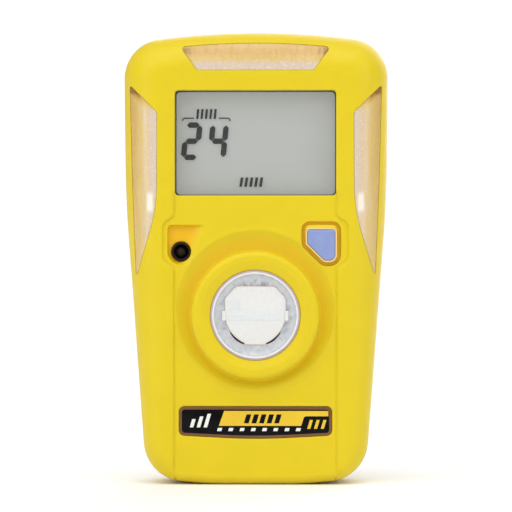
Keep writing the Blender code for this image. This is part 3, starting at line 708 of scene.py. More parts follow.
def moulded(name, colour, roughness, grain=0.16, depth=0.004, blotch=6.0, spread=0.04, sunk=None, **sockets):
    """Moulded plastic or rubber: fine spark-eroded grain, with faint blotches of tone and gloss.

    The second colour, a darker orange, is painted shade in the front's recesses, towards the rim and on the
    rear.
    """
    graph = Graph(name, roughness, **sockets)
    patches = graph.noise(blotch, 4.0)
    base = graph.ramp(patches, (0.3, shade(colour, 1 - spread)), (0.7, shade(colour, 1 + spread)))
    # Painted shade: darker orange in the recesses, growing towards the rim and full over the rear.
    if sunk:
        rim_painted_shade = graph.range(graph.axes()[1], -9.5, -3.5, 0.0, RIM_PAINTED_SHADE)
        base = graph.mix(graph.math("MAXIMUM", painted_recess_shade(graph), rim_painted_shade), base, sunk)
    fine = graph.noise(grain, 2.0)
    base = graph.mix(graph.range(fine, 0.35, 0.65, 0.0, 0.10), base, shade(colour, 0.8))
    gloss = graph.spread(graph.noise(blotch * 0.4, 5.0, 0.6), roughness - 0.05, roughness + 0.05)
    return graph.finish(base, gloss, (graph.noise(blotch * 1.6, 1.0), 0.006), (fine, depth))


def painted_recess_shade(graph):
    """Painted shade: 1 in the scoop and the key's groove, less in the dish, and 0 at the panel's height and
    beyond it.
    """
    x, y, z = graph.axes()
    depth = graph.times(graph.range(y, PANEL_Y + 0.1, PANEL_Y + 0.7), graph.range(y, -10.3, -9.8, 1.0, 0.0))
    across = graph.range(graph.size(x), 17.2, 18.2, 1.0, 0.0)
    up = graph.times(graph.range(z, 15.4, 16.4), graph.range(z, 51.2, 52.0, 1.0, 0.0))
    radius = graph.radius(x, graph.math("SUBTRACT", z, DISH_CENTRE[1]))
    dish = graph.range(radius, DISH_RADIUS - 0.2, DISH_RADIUS + 0.4, 0.45, 1.0)
    return graph.times(graph.times(depth, dish), graph.times(across, up))


def metal(name, colour, roughness, stretch, size=0.9):
    """Plated steel with fine rolling lines, faint stains and small scratches."""
    graph = Graph(name, roughness, 1.0)
    lines = graph.noise(size, 4.0, 0.6, stretch)
    stains = graph.noise(7.0, 4.0)
    base = graph.ramp(stains, (0.3, shade(colour, 0.88)), (0.7, shade(colour, 1.06)))
    base = graph.mix(graph.range(lines, 0.35, 0.65, 0.0, 0.25), base, shade(colour, 0.72))
    gloss = graph.plus(graph.spread(lines, -0.06, 0.08), graph.spread(stains, -0.04, 0.05))
    return graph.finish(base, graph.plus(gloss, roughness), (lines, 0.004))


PAINTED_GLINT_AT = (20.2, 54.1)
# Painted light and shade: cream where light comes through, golden and tan as painted reflection, brown as
# painted shadow.
LENS_PAINTED_TONES = [(0.63, 0.51, 0.40), (0.65, 0.465, 0.16), (0.53, 0.31, 0.07), (0.26, 0.12, 0.02)]


def lens_plastic(name, across, gold_at):
    """Frosted prismatic window in painted light and shade: cream where light comes through, then golden
    and tan as a painted reflection of the yellow case, and brown as painted shadow.

    across gives the position among the tones from the axes; gold_at is where it turns golden. The LED
    behind each side window is painted on it as a soft bright patch, a painted glint.
    """
    graph = Graph(name, 0.25, Coat_Weight=0.35, Coat_Roughness=0.08, Specular_IOR_Level=0.45)
    x, _, z = graph.axes()
    position = across(graph, x, z)
    streaks = graph.noise(1.6, 3.0, 0.6, (2.6, 1.0, 0.35))
    sparkle = graph.noise(0.35, 3.0, 0.8)
    jitter = graph.plus(graph.spread(streaks, -0.09, 0.09), graph.spread(sparkle, -0.07, 0.07))
    base = graph.ramp(graph.plus(position, jitter), *zip((0.1, gold_at, 0.8, 1.0), LENS_PAINTED_TONES))
    glints = graph.times(graph.range(sparkle, 0.55, 0.75), graph.range(position, 0.5, 0.1))
    off_glint, above_glint = graph.size(graph.size(x), PAINTED_GLINT_AT[0]), graph.size(z, PAINTED_GLINT_AT[1])
    painted_lamp_glint = graph.times(graph.range(off_glint, 0.8, 0.3, 0.0, 0.75), graph.range(above_glint, 2.3, 1.2))
    # Painted glints on the sparkle, and the painted bright patch of the LED behind the window.
    base = graph.mix(graph.math("MAXIMUM", glints, painted_lamp_glint), base, (0.93, 0.87, 0.78))
    return graph.finish(base, graph.spread(streaks, 0.18, 0.36), (streaks, 0.04), (sparkle, 0.012))


def side_lens_position(graph, x, z):
    """0 at the window's inner edge and 1 at its outer edge, browner below the slanted top as painted shadow.
    """
    outward = graph.range(graph.size(x), 18.9, 24.6)
    painted_shadow_under_top = graph.range(graph.math("SUBTRACT", z, graph.times(graph.size(x), 0.97)), 51.4, 53.2)
    towards_tip = graph.range(outward, 0.1, 0.9, 0.1, 0.8)
    return graph.plus(graph.times(outward, 0.8), graph.times(painted_shadow_under_top, towards_tip))


def top_lens_position(graph, x, z):
    """0 along the window's lower edge; golden above, with a tan streak, and browner at its ends as painted
    shadow.
    """
    ends = graph.range(graph.size(x), 11.0, 14.5, 0.0, 0.3)
    upper = graph.range(z, 80.2, 82.6, 0.0, 0.72)
    return graph.plus(graph.plus(ends, upper), graph.range(z, 83.4, 84.8, 0.0, -0.25))


def clear_glass():
    graph = Graph("display_window_clear", 0.06, Alpha=0.02, Specular_IOR_Level=0.12)
    dust = graph.noise(1.2, 5.0, 0.7)
    base = graph.ramp(dust, (0.4, (0.80, 0.84, 0.86)), (0.7, (0.88, 0.9, 0.9)))
    return graph.finish(base, graph.range(dust, 0.4, 0.75, 0.04, 0.12))


def display_grey():
    """The reflector behind the liquid crystal: a fine, slightly greenish grey fleece. Its glow, like a
    backlight's, is painted light that evens out the shade in the display's recess.
    """
    painted_glow = {"Emission_Strength": DISPLAY_PAINTED_GLOW, "Emission_Color": (0.48, 0.495, 0.475, 1.0)}
    graph = Graph("display_reflector", 0.55, **painted_glow)
    fleece = graph.noise(0.12, 3.0, 0.7)
    tone = graph.ramp(graph.noise(14.0, 2.0), (0.3, (0.22, 0.228, 0.216)), (0.7, (0.235, 0.242, 0.232)))
    base = graph.mix(graph.spread(fleece, 0.0, 0.18), tone, (0.18, 0.19, 0.18))
    return graph.finish(base, graph.spread(fleece, 0.48, 0.6), (fleece, 0.004))


def sensor_grey():
    """Frosted clear plastic over the metal sensor rim: bluish grey, mottled towards the disc."""
    graph = Graph("sensor_ring", 0.3, Coat_Weight=0.7, Coat_Roughness=0.1)
    x, _, z = graph.axes()
    up = graph.math("SUBTRACT", z, SENSOR_Z)
    radius = graph.radius(x, up)
    clouds = graph.noise(1.1, 4.0, 0.6, distortion=0.5)
    tones = [(0.3, (0.42, 0.44, 0.48)), (0.5, (0.50, 0.52, 0.54)), (0.75, (0.60, 0.62, 0.61))]
    tone = graph.ramp(clouds, *tones)
    tone = graph.mix(graph.range(graph.noise(4.5, 2.0), 0.35, 0.65, 0.0, 0.4), tone, (0.54, 0.54, 0.59))
    inner = graph.times(graph.range(radius, 7.1, 6.0), graph.range(up, -4.6, -1.0, 0.15, 1.0))
    mottle = graph.times(inner, graph.range(clouds, 0.60, 0.40, 0.2, 0.9))
    base = graph.mix(mottle, tone, (0.20, 0.205, 0.29))
    # Painted highlight: a pale line along the crown's inner edge.
    base = graph.mix(graph.range(radius, 7.85, 7.95, 0.0, 0.7), base, (0.84, 0.83, 0.84))
    # Painted shade: a pinkish shadow line at the crown's outer edge.
    base = graph.mix(graph.range(radius, 8.16, 8.24, 0.0, 0.9), base, (0.50, 0.38, 0.40))
    return graph.finish(base, graph.spread(clouds, 0.22, 0.42), (clouds, 0.02))


def sensor_white():
    """The sensor's filter: white, finely ribbed behind its upper part."""
    softness = {"Subsurface_Weight": 0.1, "Subsurface_Scale": 0.001}
    graph = Graph("sensor_filter", 0.5, Coat_Weight=0.3, Coat_Roughness=0.2, **softness)
    x, _, z = graph.axes()
    ribs = graph.range(graph.math("SINE", graph.times(x, math.tau / 0.95)), -1.0, 1.0)
    ribbing = graph.times(ribs, graph.range(z, SENSOR_Z + 2.6, SENSOR_Z + 4.2))
    speckle = graph.noise(0.5, 4.0, 0.7)
    tone = graph.ramp(speckle, (0.35, (0.70, 0.69, 0.675)), (0.65, (0.75, 0.745, 0.73)))
    base = graph.mix(graph.times(ribbing, 0.12), tone, (0.62, 0.62, 0.62))
    return graph.finish(base, graph.spread(speckle, 0.42, 0.58), (ribbing, 0.015), (speckle, 0.004))


def gloss_black():
    graph = Graph("name_plate_black", 0.16, Specular_IOR_Level=0.08)
    smudges = graph.noise(3.5, 5.0, 0.65)
    base = graph.ramp(smudges, (0.3, (0.002, 0.002, 0.003)), (0.75, (0.006, 0.006, 0.007)))
    return graph.finish(base, graph.range(smudges, 0.3, 0.75, 0.12, 0.26), (graph.noise(5.0, 2.0), 0.008))


def board_green():
    """Solder mask with the faint relief of tracks under it."""
    graph = Graph("board_green", 0.35, Coat_Weight=0.4, Coat_Roughness=0.15)
    tracks = graph.texture("ShaderNodeTexVoronoi", 2.4, (1.0, 1.0, 0.35), feature="SMOOTH_F1")["Distance"]
    tone = graph.ramp(tracks, (0.16, (0.03, 0.20, 0.08)), (0.24, (0.016, 0.115, 0.05)))
    base = graph.mix(graph.noise(0.3, 4.0), tone, (0.012, 0.09, 0.04))
    return graph.finish(base, graph.spread(graph.noise(1.5, 4.0), 0.28, 0.45), (tracks, 0.02))


def cell_wrap():
    """The lithium cell's printed sleeve: blue with a silver band, shrunk on with small wrinkles."""
    graph = Graph("cell_wrap", 0.3, Coat_Weight=0.5, Coat_Roughness=0.12)
    band = graph.range(graph.size(graph.axes()[0], 8.0), 1.9, 2.0, 1.0, 0.0)
    wrinkles = graph.noise(2.6, 4.0, 0.6, (0.5, 1.6, 1.6))
    blue = graph.ramp(wrinkles, (0.3, (0.03, 0.08, 0.24)), (0.7, (0.05, 0.13, 0.34)))
    base = graph.mix(band, blue, (0.55, 0.57, 0.6))
    return graph.finish(base, graph.spread(wrinkles, 0.22, 0.38), (wrinkles, 0.03))


SHELL_LOOK = {
    "roughness": 0.40,
    "grain": 0.14,
    "depth": 0.003,
    "spread": 0.02,
    # painted shade colour for the recesses, the rim and the rear
    "sunk": (0.80, 0.455, 0.004),
    "Specular_IOR_Level": 0.32,
    "Subsurface_Weight": 0.06,
    "Subsurface_Radius": (1.0, 0.5, 0.05),
    "Subsurface_Scale": 0.0012,
}
KEY_LOOK = {"grain": 0.12, "blotch": 1.8, "spread": 0.06}
KEY_LOOK |= {"Subsurface_Weight": 0.15, "Subsurface_Scale": 0.0008}
RUBBER_LOOK = {"depth": 0.005, "spread": 0.2, "Specular_IOR_Level": 0.2}

MATERIALS = {
    "yellow": moulded("yellow_plastic", (0.705, 0.54, 0.006), **SHELL_LOOK),
    "side_lens": lens_plastic("alarm_lens_side", side_lens_position, 0.45),
    "top_lens": lens_plastic("alarm_lens_top", top_lens_position, 0.4),
    "window": clear_glass(),
    "reflector": display_grey(),
    # painted shade: the dark ring round the display's edge
    "gasket": moulded("display_edge_shade", (0.085, 0.08, 0.035), 0.6),
    "segment": moulded("display_segment", (0.016, 0.018, 0.018), 0.6, depth=0.001, Specular_IOR_Level=0.1),
    # painted highlight: a paler yellow for the key's lip
    "highlight_yellow": moulded("painted_highlight_yellow_plastic", (0.86, 0.62, 0.25), 0.45, grain=0.12),
    # painted highlight: a beige line round the filter disc
    "rim_highlight": moulded("filter_rim_highlight", (0.62, 0.50, 0.42), 0.5, blotch=1.5, spread=0.15),
    "key": moulded("blue_key", (0.24, 0.305, 0.57), 0.5, **KEY_LOOK),
    "ring": sensor_grey(),
    "filter": sensor_white(),
    "white": moulded("white_plastic", (0.80, 0.80, 0.78), 0.5),
    "rubber": moulded("black_rubber", (0.016, 0.008, 0.004), 0.6, **RUBBER_LOOK),
    "black": moulded("black_plastic", (0.014, 0.014, 0.016), 0.42, spread=0.15),
    "gloss_black": gloss_black(),
    "plate_rim": moulded("name_plate_rim", (0.16, 0.06, 0.012), 0.35, spread=0.15, blotch=9.0),
    "print_yellow": moulded("print_yellow", (0.76, 0.50, 0.015), 0.32, grain=0.1, depth=0.001),
    "print_white": moulded("print_white", (0.78, 0.78, 0.76), 0.4, grain=0.1, depth=0.001),
    "label": moulded("label_paper", (0.72, 0.72, 0.69), 0.48, grain=0.2, blotch=4.0, depth=0.002),
    "label_ink": moulded("label_ink", (0.22, 0.23, 0.24), 0.5, grain=0.15, depth=0.001),
    "board": board_green(),
    "cell": cell_wrap(),
    "gold": metal("gold", (0.85, 0.56, 0.19), 0.24, (1, 1, 6)),
    "steel": metal("steel", (0.62, 0.61, 0.59), 0.30, (9, 1, 1)),
    "lever_steel": metal("lever_steel", (0.66, 0.65, 0.63), 0.27, (8, 1, 0.5), 1.1),
    "screw_steel": metal("screw_steel", (0.44, 0.44, 0.43), 0.34, (3, 3, 3), 0.5),
}


# ---------------------------------------------------------------- covers


def cover_walls(shell, skin, inside, change=lambda ring: ring):
    """The sheets' rings from the rim inwards, and the rim between them. Returns the rings to fill."""
    outer = [shell.ring(change(ring)) for ring in skin.rings(7)]
    inner = [shell.ring(ring) for ring in inside.rings(3)]
    shell.band(*outer)
    shell.band(*inner)
    shell.band(outer[0], inner[0])
    return outer[-1], inner[-1]


def make_front_cover():
    shell = Shell()
    outer, inner = cover_walls(shell, FRONT_SKIN, FRONT_INSIDE, notched)
    windows = list(alarm_windows().values())
    through = [*windows, display_outline(0, 0, 0.7)]
    through += [bezel_outline(BEZEL_WIDTH + GAP), circle(*BUZZER_AT, PORT_RADIUS, HOLE_STEPS)]
    radii = [WINDOW_EDGE] * len(windows) + [EDGE_RADIUS] * 3
    sheet_holes, inside_holes = [], []
    for loop, radius in zip(through, radii):
        sheet_ring, wall_top = shell.edge(loop, front_height, 1, radius)
        sheet_holes.append(sheet_ring)
        inside_holes.append(shell.band(wall_top, shell.flat_ring(loop, FRONT_INSIDE.height(loop))))

    bed = inset(NAME_PLATE, -PLATE_GAP)
    sheet_ring, wall_top = shell.edge(bed, front_height, 1)
    shell.fill(shell.band(wall_top, shell.flat_ring(bed, PANEL_Y + 0.8)), [])
    foot, tube_end = boss_rings(shell)
    sheet_holes += [sheet_ring, foot]
    inside_holes.append(tube_end)

    openings = [inset(loop, -radius) for loop, radius in zip((*through, bed), (*radii, EDGE_RADIUS))]
    openings.append(sensor_circle(BOSS_RADIUS + BOSS_FILLET))
    features = [inset(PANEL, distance) for distance in (-0.2, -0.08, 0.04, 0.16, 0.3)]
    features += [circle(*DISH_CENTRE, DISH_RADIUS + extra, 300) for extra in (-0.25, 0.1, 0.42, 0.75)]
    features += [inset(SCOOP, distance) for distance in (-0.1, 0.06, 0.22)]
    shell.fill(outer, sheet_holes, sheet_spots(FRONT_SKIN, openings, features), front_height)
    inside_openings = [*through, sensor_circle(SOCKET_TUBE_RADIUS)]
    spots = sheet_spots(FRONT_INSIDE, inside_openings, step=INSIDE_STEP)
    shell.fill(inner, inside_holes, spots, FRONT_INSIDE.height)
    shell.build("front_shell", "yellow", "front_cover")


def boss_rings(shell):
    """The ring round the sensor, from its foot in the dish to the socket tube behind it."""
    crown = -BOSS_CROWN_Y
    corners = [
        (BOSS_RADIUS, 12.0, 0),
        (BOSS_RADIUS, crown, 1.2),
        (BOSS_RADIUS - 1.9, crown, 1.0),
        (BORE_RADIUS, crown - 0.55, 0.3),
        (BORE_RADIUS, 11.4, 0),
        (SOCKET_RADIUS, 11.4, 0),
        (SOCKET_RADIUS, 6.0, 0),
        (SOCKET_TUBE_RADIUS, 6.0, 0),
    ]
    foot_y = front_height(sensor_circle(BOSS_RADIUS + BOSS_FILLET))
    turns = quarter_turn(BOSS_FILLET, 4)
    fillet = [shell.flat_ring(sensor_circle(BOSS_RADIUS + outward), foot_y - up) for outward, up in turns]
    rings = shell.turn(rounded(corners, closed=False), 0, SENSOR_Z)
    tube = sensor_circle(SOCKET_TUBE_RADIUS)
    shell.band(*fillet, rings[0])
    return fillet[0], shell.band(rings[-1], shell.flat_ring(tube, FRONT_INSIDE.height(tube)))


def make_rear_cover():
    shell = Shell()
    outer, inner = cover_walls(shell, REAR_SKIN, REAR_INSIDE)
    height, inside = REAR_SKIN.height, REAR_INSIDE.height
    sheet_holes, inside_holes, openings, inside_openings = [], [], [], []
    for x, z in [(side * x, z) for x, z in SCREW_PLACES for side in (-1, 1)]:
        bore, hole, pillar = [circle(x, z, radius, HOLE_STEPS) for radius in (1.9, 1.25, 2.5)]
        sheet_ring, wall_top = shell.edge(bore, height, -1)
        steps = [(bore, COUNTERBORE_FLOOR_Y), (hole, COUNTERBORE_FLOOR_Y), (hole, REAR_RIM_Y)]
        rings = shell.stack([*steps, (pillar, REAR_RIM_Y), (pillar, inside(pillar))])
        shell.band(wall_top, rings[0])
        sheet_holes.append(sheet_ring)
        inside_holes.append(rings[-1])
        openings.append(inset(bore, -EDGE_RADIUS))
        inside_openings.append(pillar)

    screw_hole, pillar = [circle(0, CLIP_SCREW_Z, radius, HOLE_STEPS) for radius in (1.6, 3.2)]
    steps = [(screw_hole, CLIP_BED_Y), (screw_hole, CLIP_PILLAR_Y), (pillar, CLIP_PILLAR_Y)]
    rings = shell.stack([*steps, (pillar, inside(pillar))])
    inside_holes.append(rings[-1])
    inside_openings.append(pillar)
    clip_bed, label_bed = bar(0, CLIP_Z, 5.8, 19.3, 1.3), bar(0, LABEL_Z, 12.3, 9.3, 1.3)
    for bed, floor_y, holes in ((clip_bed, CLIP_BED_Y, rings[:1]), (label_bed, LABEL_BED_Y, [])):
        sheet_ring, wall_top = shell.edge(bed, height, -1)
        shell.fill(shell.band(wall_top, shell.flat_ring(bed, floor_y)), holes)
        sheet_holes.append(sheet_ring)
        openings.append(inset(bed, -EDGE_RADIUS))

    shell.fill(outer, sheet_holes, sheet_spots(REAR_SKIN, openings, step=REAR_STEP), height)
    shell.fill(inner, inside_holes, sheet_spots(REAR_INSIDE, inside_openings, step=INSIDE_STEP), inside)
    shell.build("rear_shell", "yellow", "rear_cover")


# ---------------------------------------------------------------- alarm windows and display


def make_alarm_windows():
    """Windows that follow the case's skin a little below it, with rounded edges."""
    grid = lattice()
    for side, window in alarm_windows().items():
        shell = Shell()
        loop = inset(window, WINDOW_FIT)
        inward = measure(grid, loop)[0]
        sheet_ring, wall_top = shell.edge(loop, lens_height, -1, -LENS_EDGE, 2)
        shell.fill(sheet_ring, [], grid[inward > 0.3], lens_height)
        back = shell.band(wall_top, shell.flat_ring(loop, lens_back_height(loop)))
        shell.fill(back, [], grid[inward > 0.8], lens_back_height)
        material = "top_lens" if side == "top" else "side_lens"
        shell.build(f"{side}_alarm_window", material, f"alarm_lens_{side}")


DIGIT_TWO = ("top", "upper_right", "middle", "lower_left", "bottom")
DIGIT_FOUR = ("upper_left", "upper_right", "middle", "lower_right")


def digit_segments(x, z, lit):
    """The lit segments of one seven-segment digit centred at (x, z), as outlines."""
    half_width, half_height, half_stroke, gap, lean = 1.27, 3.1, 0.53, 0.06, 0.1
    rows = {"top": 1, "upper": 0.5, "middle": 0, "lower": -0.5, "bottom": -1}
    outlines = []
    for name in lit:
        row, _, side = name.partition("_")
        across = {"left": -half_width, "right": half_width, "": 0}[side]
        up = rows[row] * half_height
        reach = (half_height / 2 if side else half_width) - gap
        inner = reach - half_stroke * 0.9
        outline = [(-reach, 0), (-inner, -half_stroke), (inner, -half_stroke)]
        outline += [(-a, -b) for a, b in outline]
        if side:
            outline = [(-b, a) for a, b in outline]
        corners = [(x + across + a + (up + b) * lean, z + up + b, 0.04) for a, b in outline]
        outlines.append(rounded(corners, angle_step=30))
    return outlines


def stroke_outline(path, half):
    """A closed outline round an open path, half wide on either side."""
    path = np.array(path, float)
    side = unit(left_of(np.gradient(path, axis=0))) * half
    return np.vstack((path + side, (path - side)[::-1]))[::-1]


def make_display():
    slabs = [(bar(0, DISPLAY_Z, 16.0, 10.8, 0.4), -8.45, -7.0, 0.1, 0.1)]
    build_slabs("display_reflector", "reflector", slabs, "display_panel")

    # A dark olive ring round the display's edge: painted shade for the dark line at the opening's edge.
    gasket = Shell()
    loops = display_outline(0.5, 0.5, 1.0), display_outline(-0.2, -0.2, 0.8)
    for edge, hole in zip(*[gasket.stack([(loop, -8.76), (loop, -8.5)]) for loop in loops]):
        gasket.fill(edge, [hole])
    gasket.build("display_edge_shade", "gasket")

    outlines = digit_segments(-12.31, 65.87, DIGIT_TWO) + digit_segments(-7.24, 65.87, DIGIT_FOUR)
    outlines.append(stroke_outline([(-14.1, 69.75), (-13.98, 70.15), (-13.7, 70.3), (-11.85, 70.3)], 0.12))
    outlines.append(stroke_outline([(-7.1, 70.3), (-5.3, 70.3), (-5.02, 70.15), (-4.9, 69.75)], 0.12))
    outlines += [leaning(-11.15 + 0.84 * i, 71.1, 0.22, 0.95, 0.1) for i in range(5)]
    outlines += [leaning(-2.75 + 0.95 * i, 58.0, 0.26, 0.9, 0.15) for i in range(5)]
    slabs = [(outline, -8.84, -8.78) for outline in outlines]
    build_slabs("display_segments", "segment", slabs)

    window = Shell()
    plug, flange = display_outline(-GAP, -GAP, 0.5), display_outline(1.2, 1.27, 0.8)
    edges = [(0.2, -10.9), (0.06, -10.84), (0.0, -10.7), (0.0, -9.9)]
    rings = window.stack([(inset(plug, inward), y) for inward, y in edges])
    front, back = window.stack([(flange, -9.9), (flange, -9.1)])
    window.fill(front, rings[-1:])
    window.cap(rings[0], back)
    window.build("display_cover", "window", "display_window")


# ---------------------------------------------------------------- key and buzzer


def make_key():
    """The key, the lip that guides it, pale yellow as a painted highlight line round the key, and the bezel
    that slopes from there into the groove.
    """
    key = rounded(KEY_CORNERS, longest=0.3)
    groove = bezel_outline(BEZEL_WIDTH + GAP - 0.03)
    share = np.arange(len(groove)) / len(groove)
    foot, slope = [matched(bezel_outline(width), share) for width in (0.5, 0.36)]
    lip_foot, lip_outside, crown_outer, crown_inner, lip_inside = [
        matched(inset(key, -outward), share) for outward in (0.36, 0.34, 0.26, 0.12, 0.05)
    ]
    bezel = [(groove, -9.6), (groove, GROOVE_Y), (foot, GROOVE_Y), (foot, -11.2), (slope, -11.45)]
    shell = Shell()
    shell.stack([*bezel, (lip_foot, -11.66), (lip_foot, -9.6)], closed=True)
    shell.build("key_bezel", "yellow", "button_collar")

    # The lip's paler yellow is a painted highlight line round the key.
    lip = [(lip_outside, -9.8), (lip_outside, -11.76), (crown_outer, -11.84), (crown_inner, -11.84)]
    shell = Shell()
    shell.stack([*lip, (lip_inside, -11.76), (lip_inside, -9.8)], closed=True)
    shell.build("key_lip", "highlight_yellow")

    edges = [(0.45, -11.92), (0.25, -11.90), (0.1, -11.85), (0.02, -11.76), (0.0, -11.6), (0.0, -8.9)]
    shell = Shell()
    rings = shell.stack([(inset(key, inward), y) for inward, y in (*edges, (-0.9, -8.9), (-0.9, -8.1))])
    stem_loop = circle(13.0, 46.6, 1.5, 32)
    stem = shell.stack([(stem_loop, -8.1), (stem_loop, -5.4)])
    shell.fill(rings[-1], stem[:1])
    shell.cap(rings[0], stem[-1])
    shell.build("key_cap", "key", "push_button", body="button")


def make_grommet():
    """The sounder port's rubber grommet, with a dome of dark mesh inside."""
    outer = PORT_RADIUS - WINDOW_FIT
    corners = [(3.0, 8.6, 0), (3.0, 9.1, 0), (outer, 9.1, 0), (outer, 11.1, 0.3), (1.5, 11.1, 0.12)]
    corners += [(1.3, 10.3, 0.2), (1.3, 8.6, 0), (3.0, 8.6, 0)]
    dome = [(0.0, 10.85), (0.35, 10.78), (0.7, 10.55), (1.0, 10.15), (1.15, 9.6), (1.15, 9.2), (0.0, 9.2)]
    shell = Shell()
    shell.turn(rounded(corners, closed=False, longest=0.4)[:-1], *BUZZER_AT, steps=48, closed=True)
    shell.turn(dome, *BUZZER_AT, steps=32)
    shell.build("sounder_grommet", "rubber", "buzzer_grommet")


# ---------------------------------------------------------------- sensor


def filter_outline(margin=0.0):
    """The filter disc: round below, with straight sides, slanted shoulders and a flat top and foot."""
    right = [(1.9, -5.55, 0.3), (5.75, -2.6, 6.2), (5.75, 3.2, 1.4), (3.7, 5.45, 1.4)]
    return inset(rounded(both_sides(right), longest=0.4), -margin) + (0, SENSOR_Z)


def crescent(side):
    """The outline of a slot under the filter disc, widening towards the bottom; the dark slab in it is
    painted shade.
    """
    angles = np.radians(np.linspace(-34.5, -69.0, 24))
    width = 0.05 + 0.22 * np.sin(np.linspace(0.1, 1.0, 24) * math.pi * 0.78)
    spokes = np.column_stack((np.cos(angles), np.sin(angles)))
    loop = np.vstack((spokes[::-1] * 5.7, spokes * (5.74 + width)[:, None])) * (side, 1) + (0, SENSOR_Z)
    return loop if side < 0 else loop[::-1]


def make_sensor():
    corners = [(8.57, 11.8, 0), (8.57, 13.4, 0.06), (8.3, 13.42, 0.06), (8.3, 13.7, 0.1), (7.95, 13.7, 0.12)]
    profile = rounded([*corners, (7.6, 13.22, 0.2), (6.95, 13.0, 0.1)], closed=False, longest=0.3)
    shell = Shell()
    rings = shell.turn(profile, 0, SENSOR_Z)
    seat, hole = filter_outline(0.16), sensor_circle(5.2)
    seat_top, seat_floor = shell.stack([(seat, -13.0), (seat, -12.1)])
    hole_top, hole_end = shell.stack([(hole, -12.1), (hole, -11.8)])
    shell.fill(rings[-1], [seat_top])
    shell.fill(seat_floor, [hole_top])
    shell.band(hole_end, rings[0])
    shell.build("sensor_retaining_ring", "ring", "sensor_retainer")

    disc_back, back, bridge_z = -12.35, -12.4, SENSOR_Z - 0.1
    slabs = [(filter_outline(), -13.02, disc_back, 0.08)]
    slabs += [(bar(0, bridge_z, 5.6, 0.95, 0.15), -13.07, back, 0.04)]
    slabs += [(bar(x, bridge_z, 0.36, 0.95, 0.15), -13.2, back, 0.1) for x in (-5.98, 5.98)]
    slabs += [(bar(-4.1, SENSOR_Z + 1.9, 1.2, 0.95, 0.12), -13.045, back, 0.02)]
    build_slabs("sensor_filter_disc", "filter", slabs, "sensor_filter")
    # A beige slab just wider than the disc shows as a thin line round it: a painted highlight line at its
    # rim.
    build_slabs("sensor_filter_rim_highlight", "rim_highlight", [(filter_outline(0.12), -12.98, disc_back)])
    # Dark slabs in the slots: painted shade in place of the dark gaps.
    shade_slabs = [(crescent(side), -13.06, back) for side in (-1, 1)]
    build_slabs("sensor_slot_shade", "rubber", shade_slabs)


# ---------------------------------------------------------------- name plate and label


def make_name_plate():
    """A glossy black plate in a brown rim, with a plain yellow band, blocks and bars on it."""
    rim = inset(NAME_PLATE, WINDOW_FIT - PLATE_GAP)
    slabs = [(rim, PANEL_Y + 0.05, PANEL_Y + 0.5, 0.15)]
    build_slabs("name_plate_rim", "plate_rim", slabs, "name_plate")
    face = plate_outline(14.1, 9.98, 9.3, 14.42, 0.6, 0.5)
    build_slabs("name_plate_face", "gloss_black", [(face, PANEL_Y - 0.03, PANEL_Y + 0.2, 0.1)])

    band = [(-7.0, 11.3, 0.05), (8.75, 11.3, 0.1), (9.35, 13.15, 0.5), (13.95, 13.15, 0.05)]
    band = rounded([*band, (13.95, 14.15, 0.15), (-6.0, 14.15, 0.05)], angle_step=20)
    blocks = [leaning(10.45 + 1.3 * i, 11.6, 0.3, 0.85) for i in range(3)]
    ticks = [leaning(-1.5 + 1.45 * i, 12.65, 0.46, 0.85) for i in range(5)]
    marks = [leaning(-12.0 + 1.4 * i, 11.8 + 0.25 * i, 0.34, 0.8 + 0.25 * i) for i in range(3)]
    marks += [leaning(-6.85 + 2.15 * i, 10.6, 0.42, 0.3) for i in range(8)]
    for name, material, outlines, ink_y in (
        ("band", "print_yellow", [band, *blocks], PANEL_Y - 0.05),
        ("ticks", "gloss_black", ticks, PANEL_Y - 0.07),
        ("marks", "print_white", marks, PANEL_Y - 0.05),
    ):
        slabs = [(outline, ink_y, PANEL_Y) for outline in outlines]
        build_slabs(f"name_plate_{name}", material, slabs)


def make_rear_label():
    slabs = [(bar(0, LABEL_Z, 12.0, 9.0, 1.0), REAR_Y - 0.02, REAR_Y - GAP)]
    build_slabs("rear_sticker", "label", slabs, "rear_label")
    ink_y, back_y = REAR_Y, REAR_Y - 0.05
    edge, inner = bar(0, LABEL_Z, 11.3, 8.3, 0.7), bar(0, LABEL_Z, 11.1, 8.1, 0.5)
    inner = matched(inner, np.arange(len(edge)) / len(edge))
    shell = Shell()
    shell.stack([(edge, ink_y), (edge, back_y), (inner, back_y), (inner, ink_y)], closed=True)
    for i in range(5):
        shell.slab(bar(0, 12.6 + 2.7 * i, 9.6, 0.12, 0.05), ink_y, back_y)
    shell.build("rear_sticker_lines", "label_ink")


# ---------------------------------------------------------------- clip


def make_lever():
    """The clip's spring-steel lever: a bent strip with folded ears and pressed ribs at the thumb end."""
    spine = [(9.55, JAW_Z, 0), (10.2, 35.5, 0.8), (12.7, 40.5, 4.0), (13.8, 44.5, 8.0)]
    spine = rounded(spine + [(13.8, 70.5, 14.0), (12.85, 77.0, 0)], closed=False, longest=0.8)
    inward = left_of(unit(np.gradient(spine, axis=0)))
    strip = np.vstack((spine, (spine + inward * LEVER_THICKNESS)[::-1]))
    shell = Shell()
    shell.slab(strip, -LEVER_HALF, LEVER_HALF, 0.22, 0.22, sideways=True)
    ear = [(13.3, 54.4, 0.6), (10.2, 55.5, 1.5), (8.7, 57.0, 1.6), (8.7, 59.0, 1.6), (10.2, 60.5, 1.5)]
    make_ears(shell, [*ear, (13.3, 61.6, 0.6)], LEVER_HALF - 0.7, LEVER_HALF)
    for i in range(4):
        rib = circle(13.4, 64.6 + 1.7 * i, 0.58, 24)
        shell.slab(rib, 1.0 - LEVER_HALF, LEVER_HALF - 1.0, 0.3, 0.3, sideways=True)
    shell.build("clip_lever_strip", "lever_steel", "clip_lever", body="lever", sharp=30)


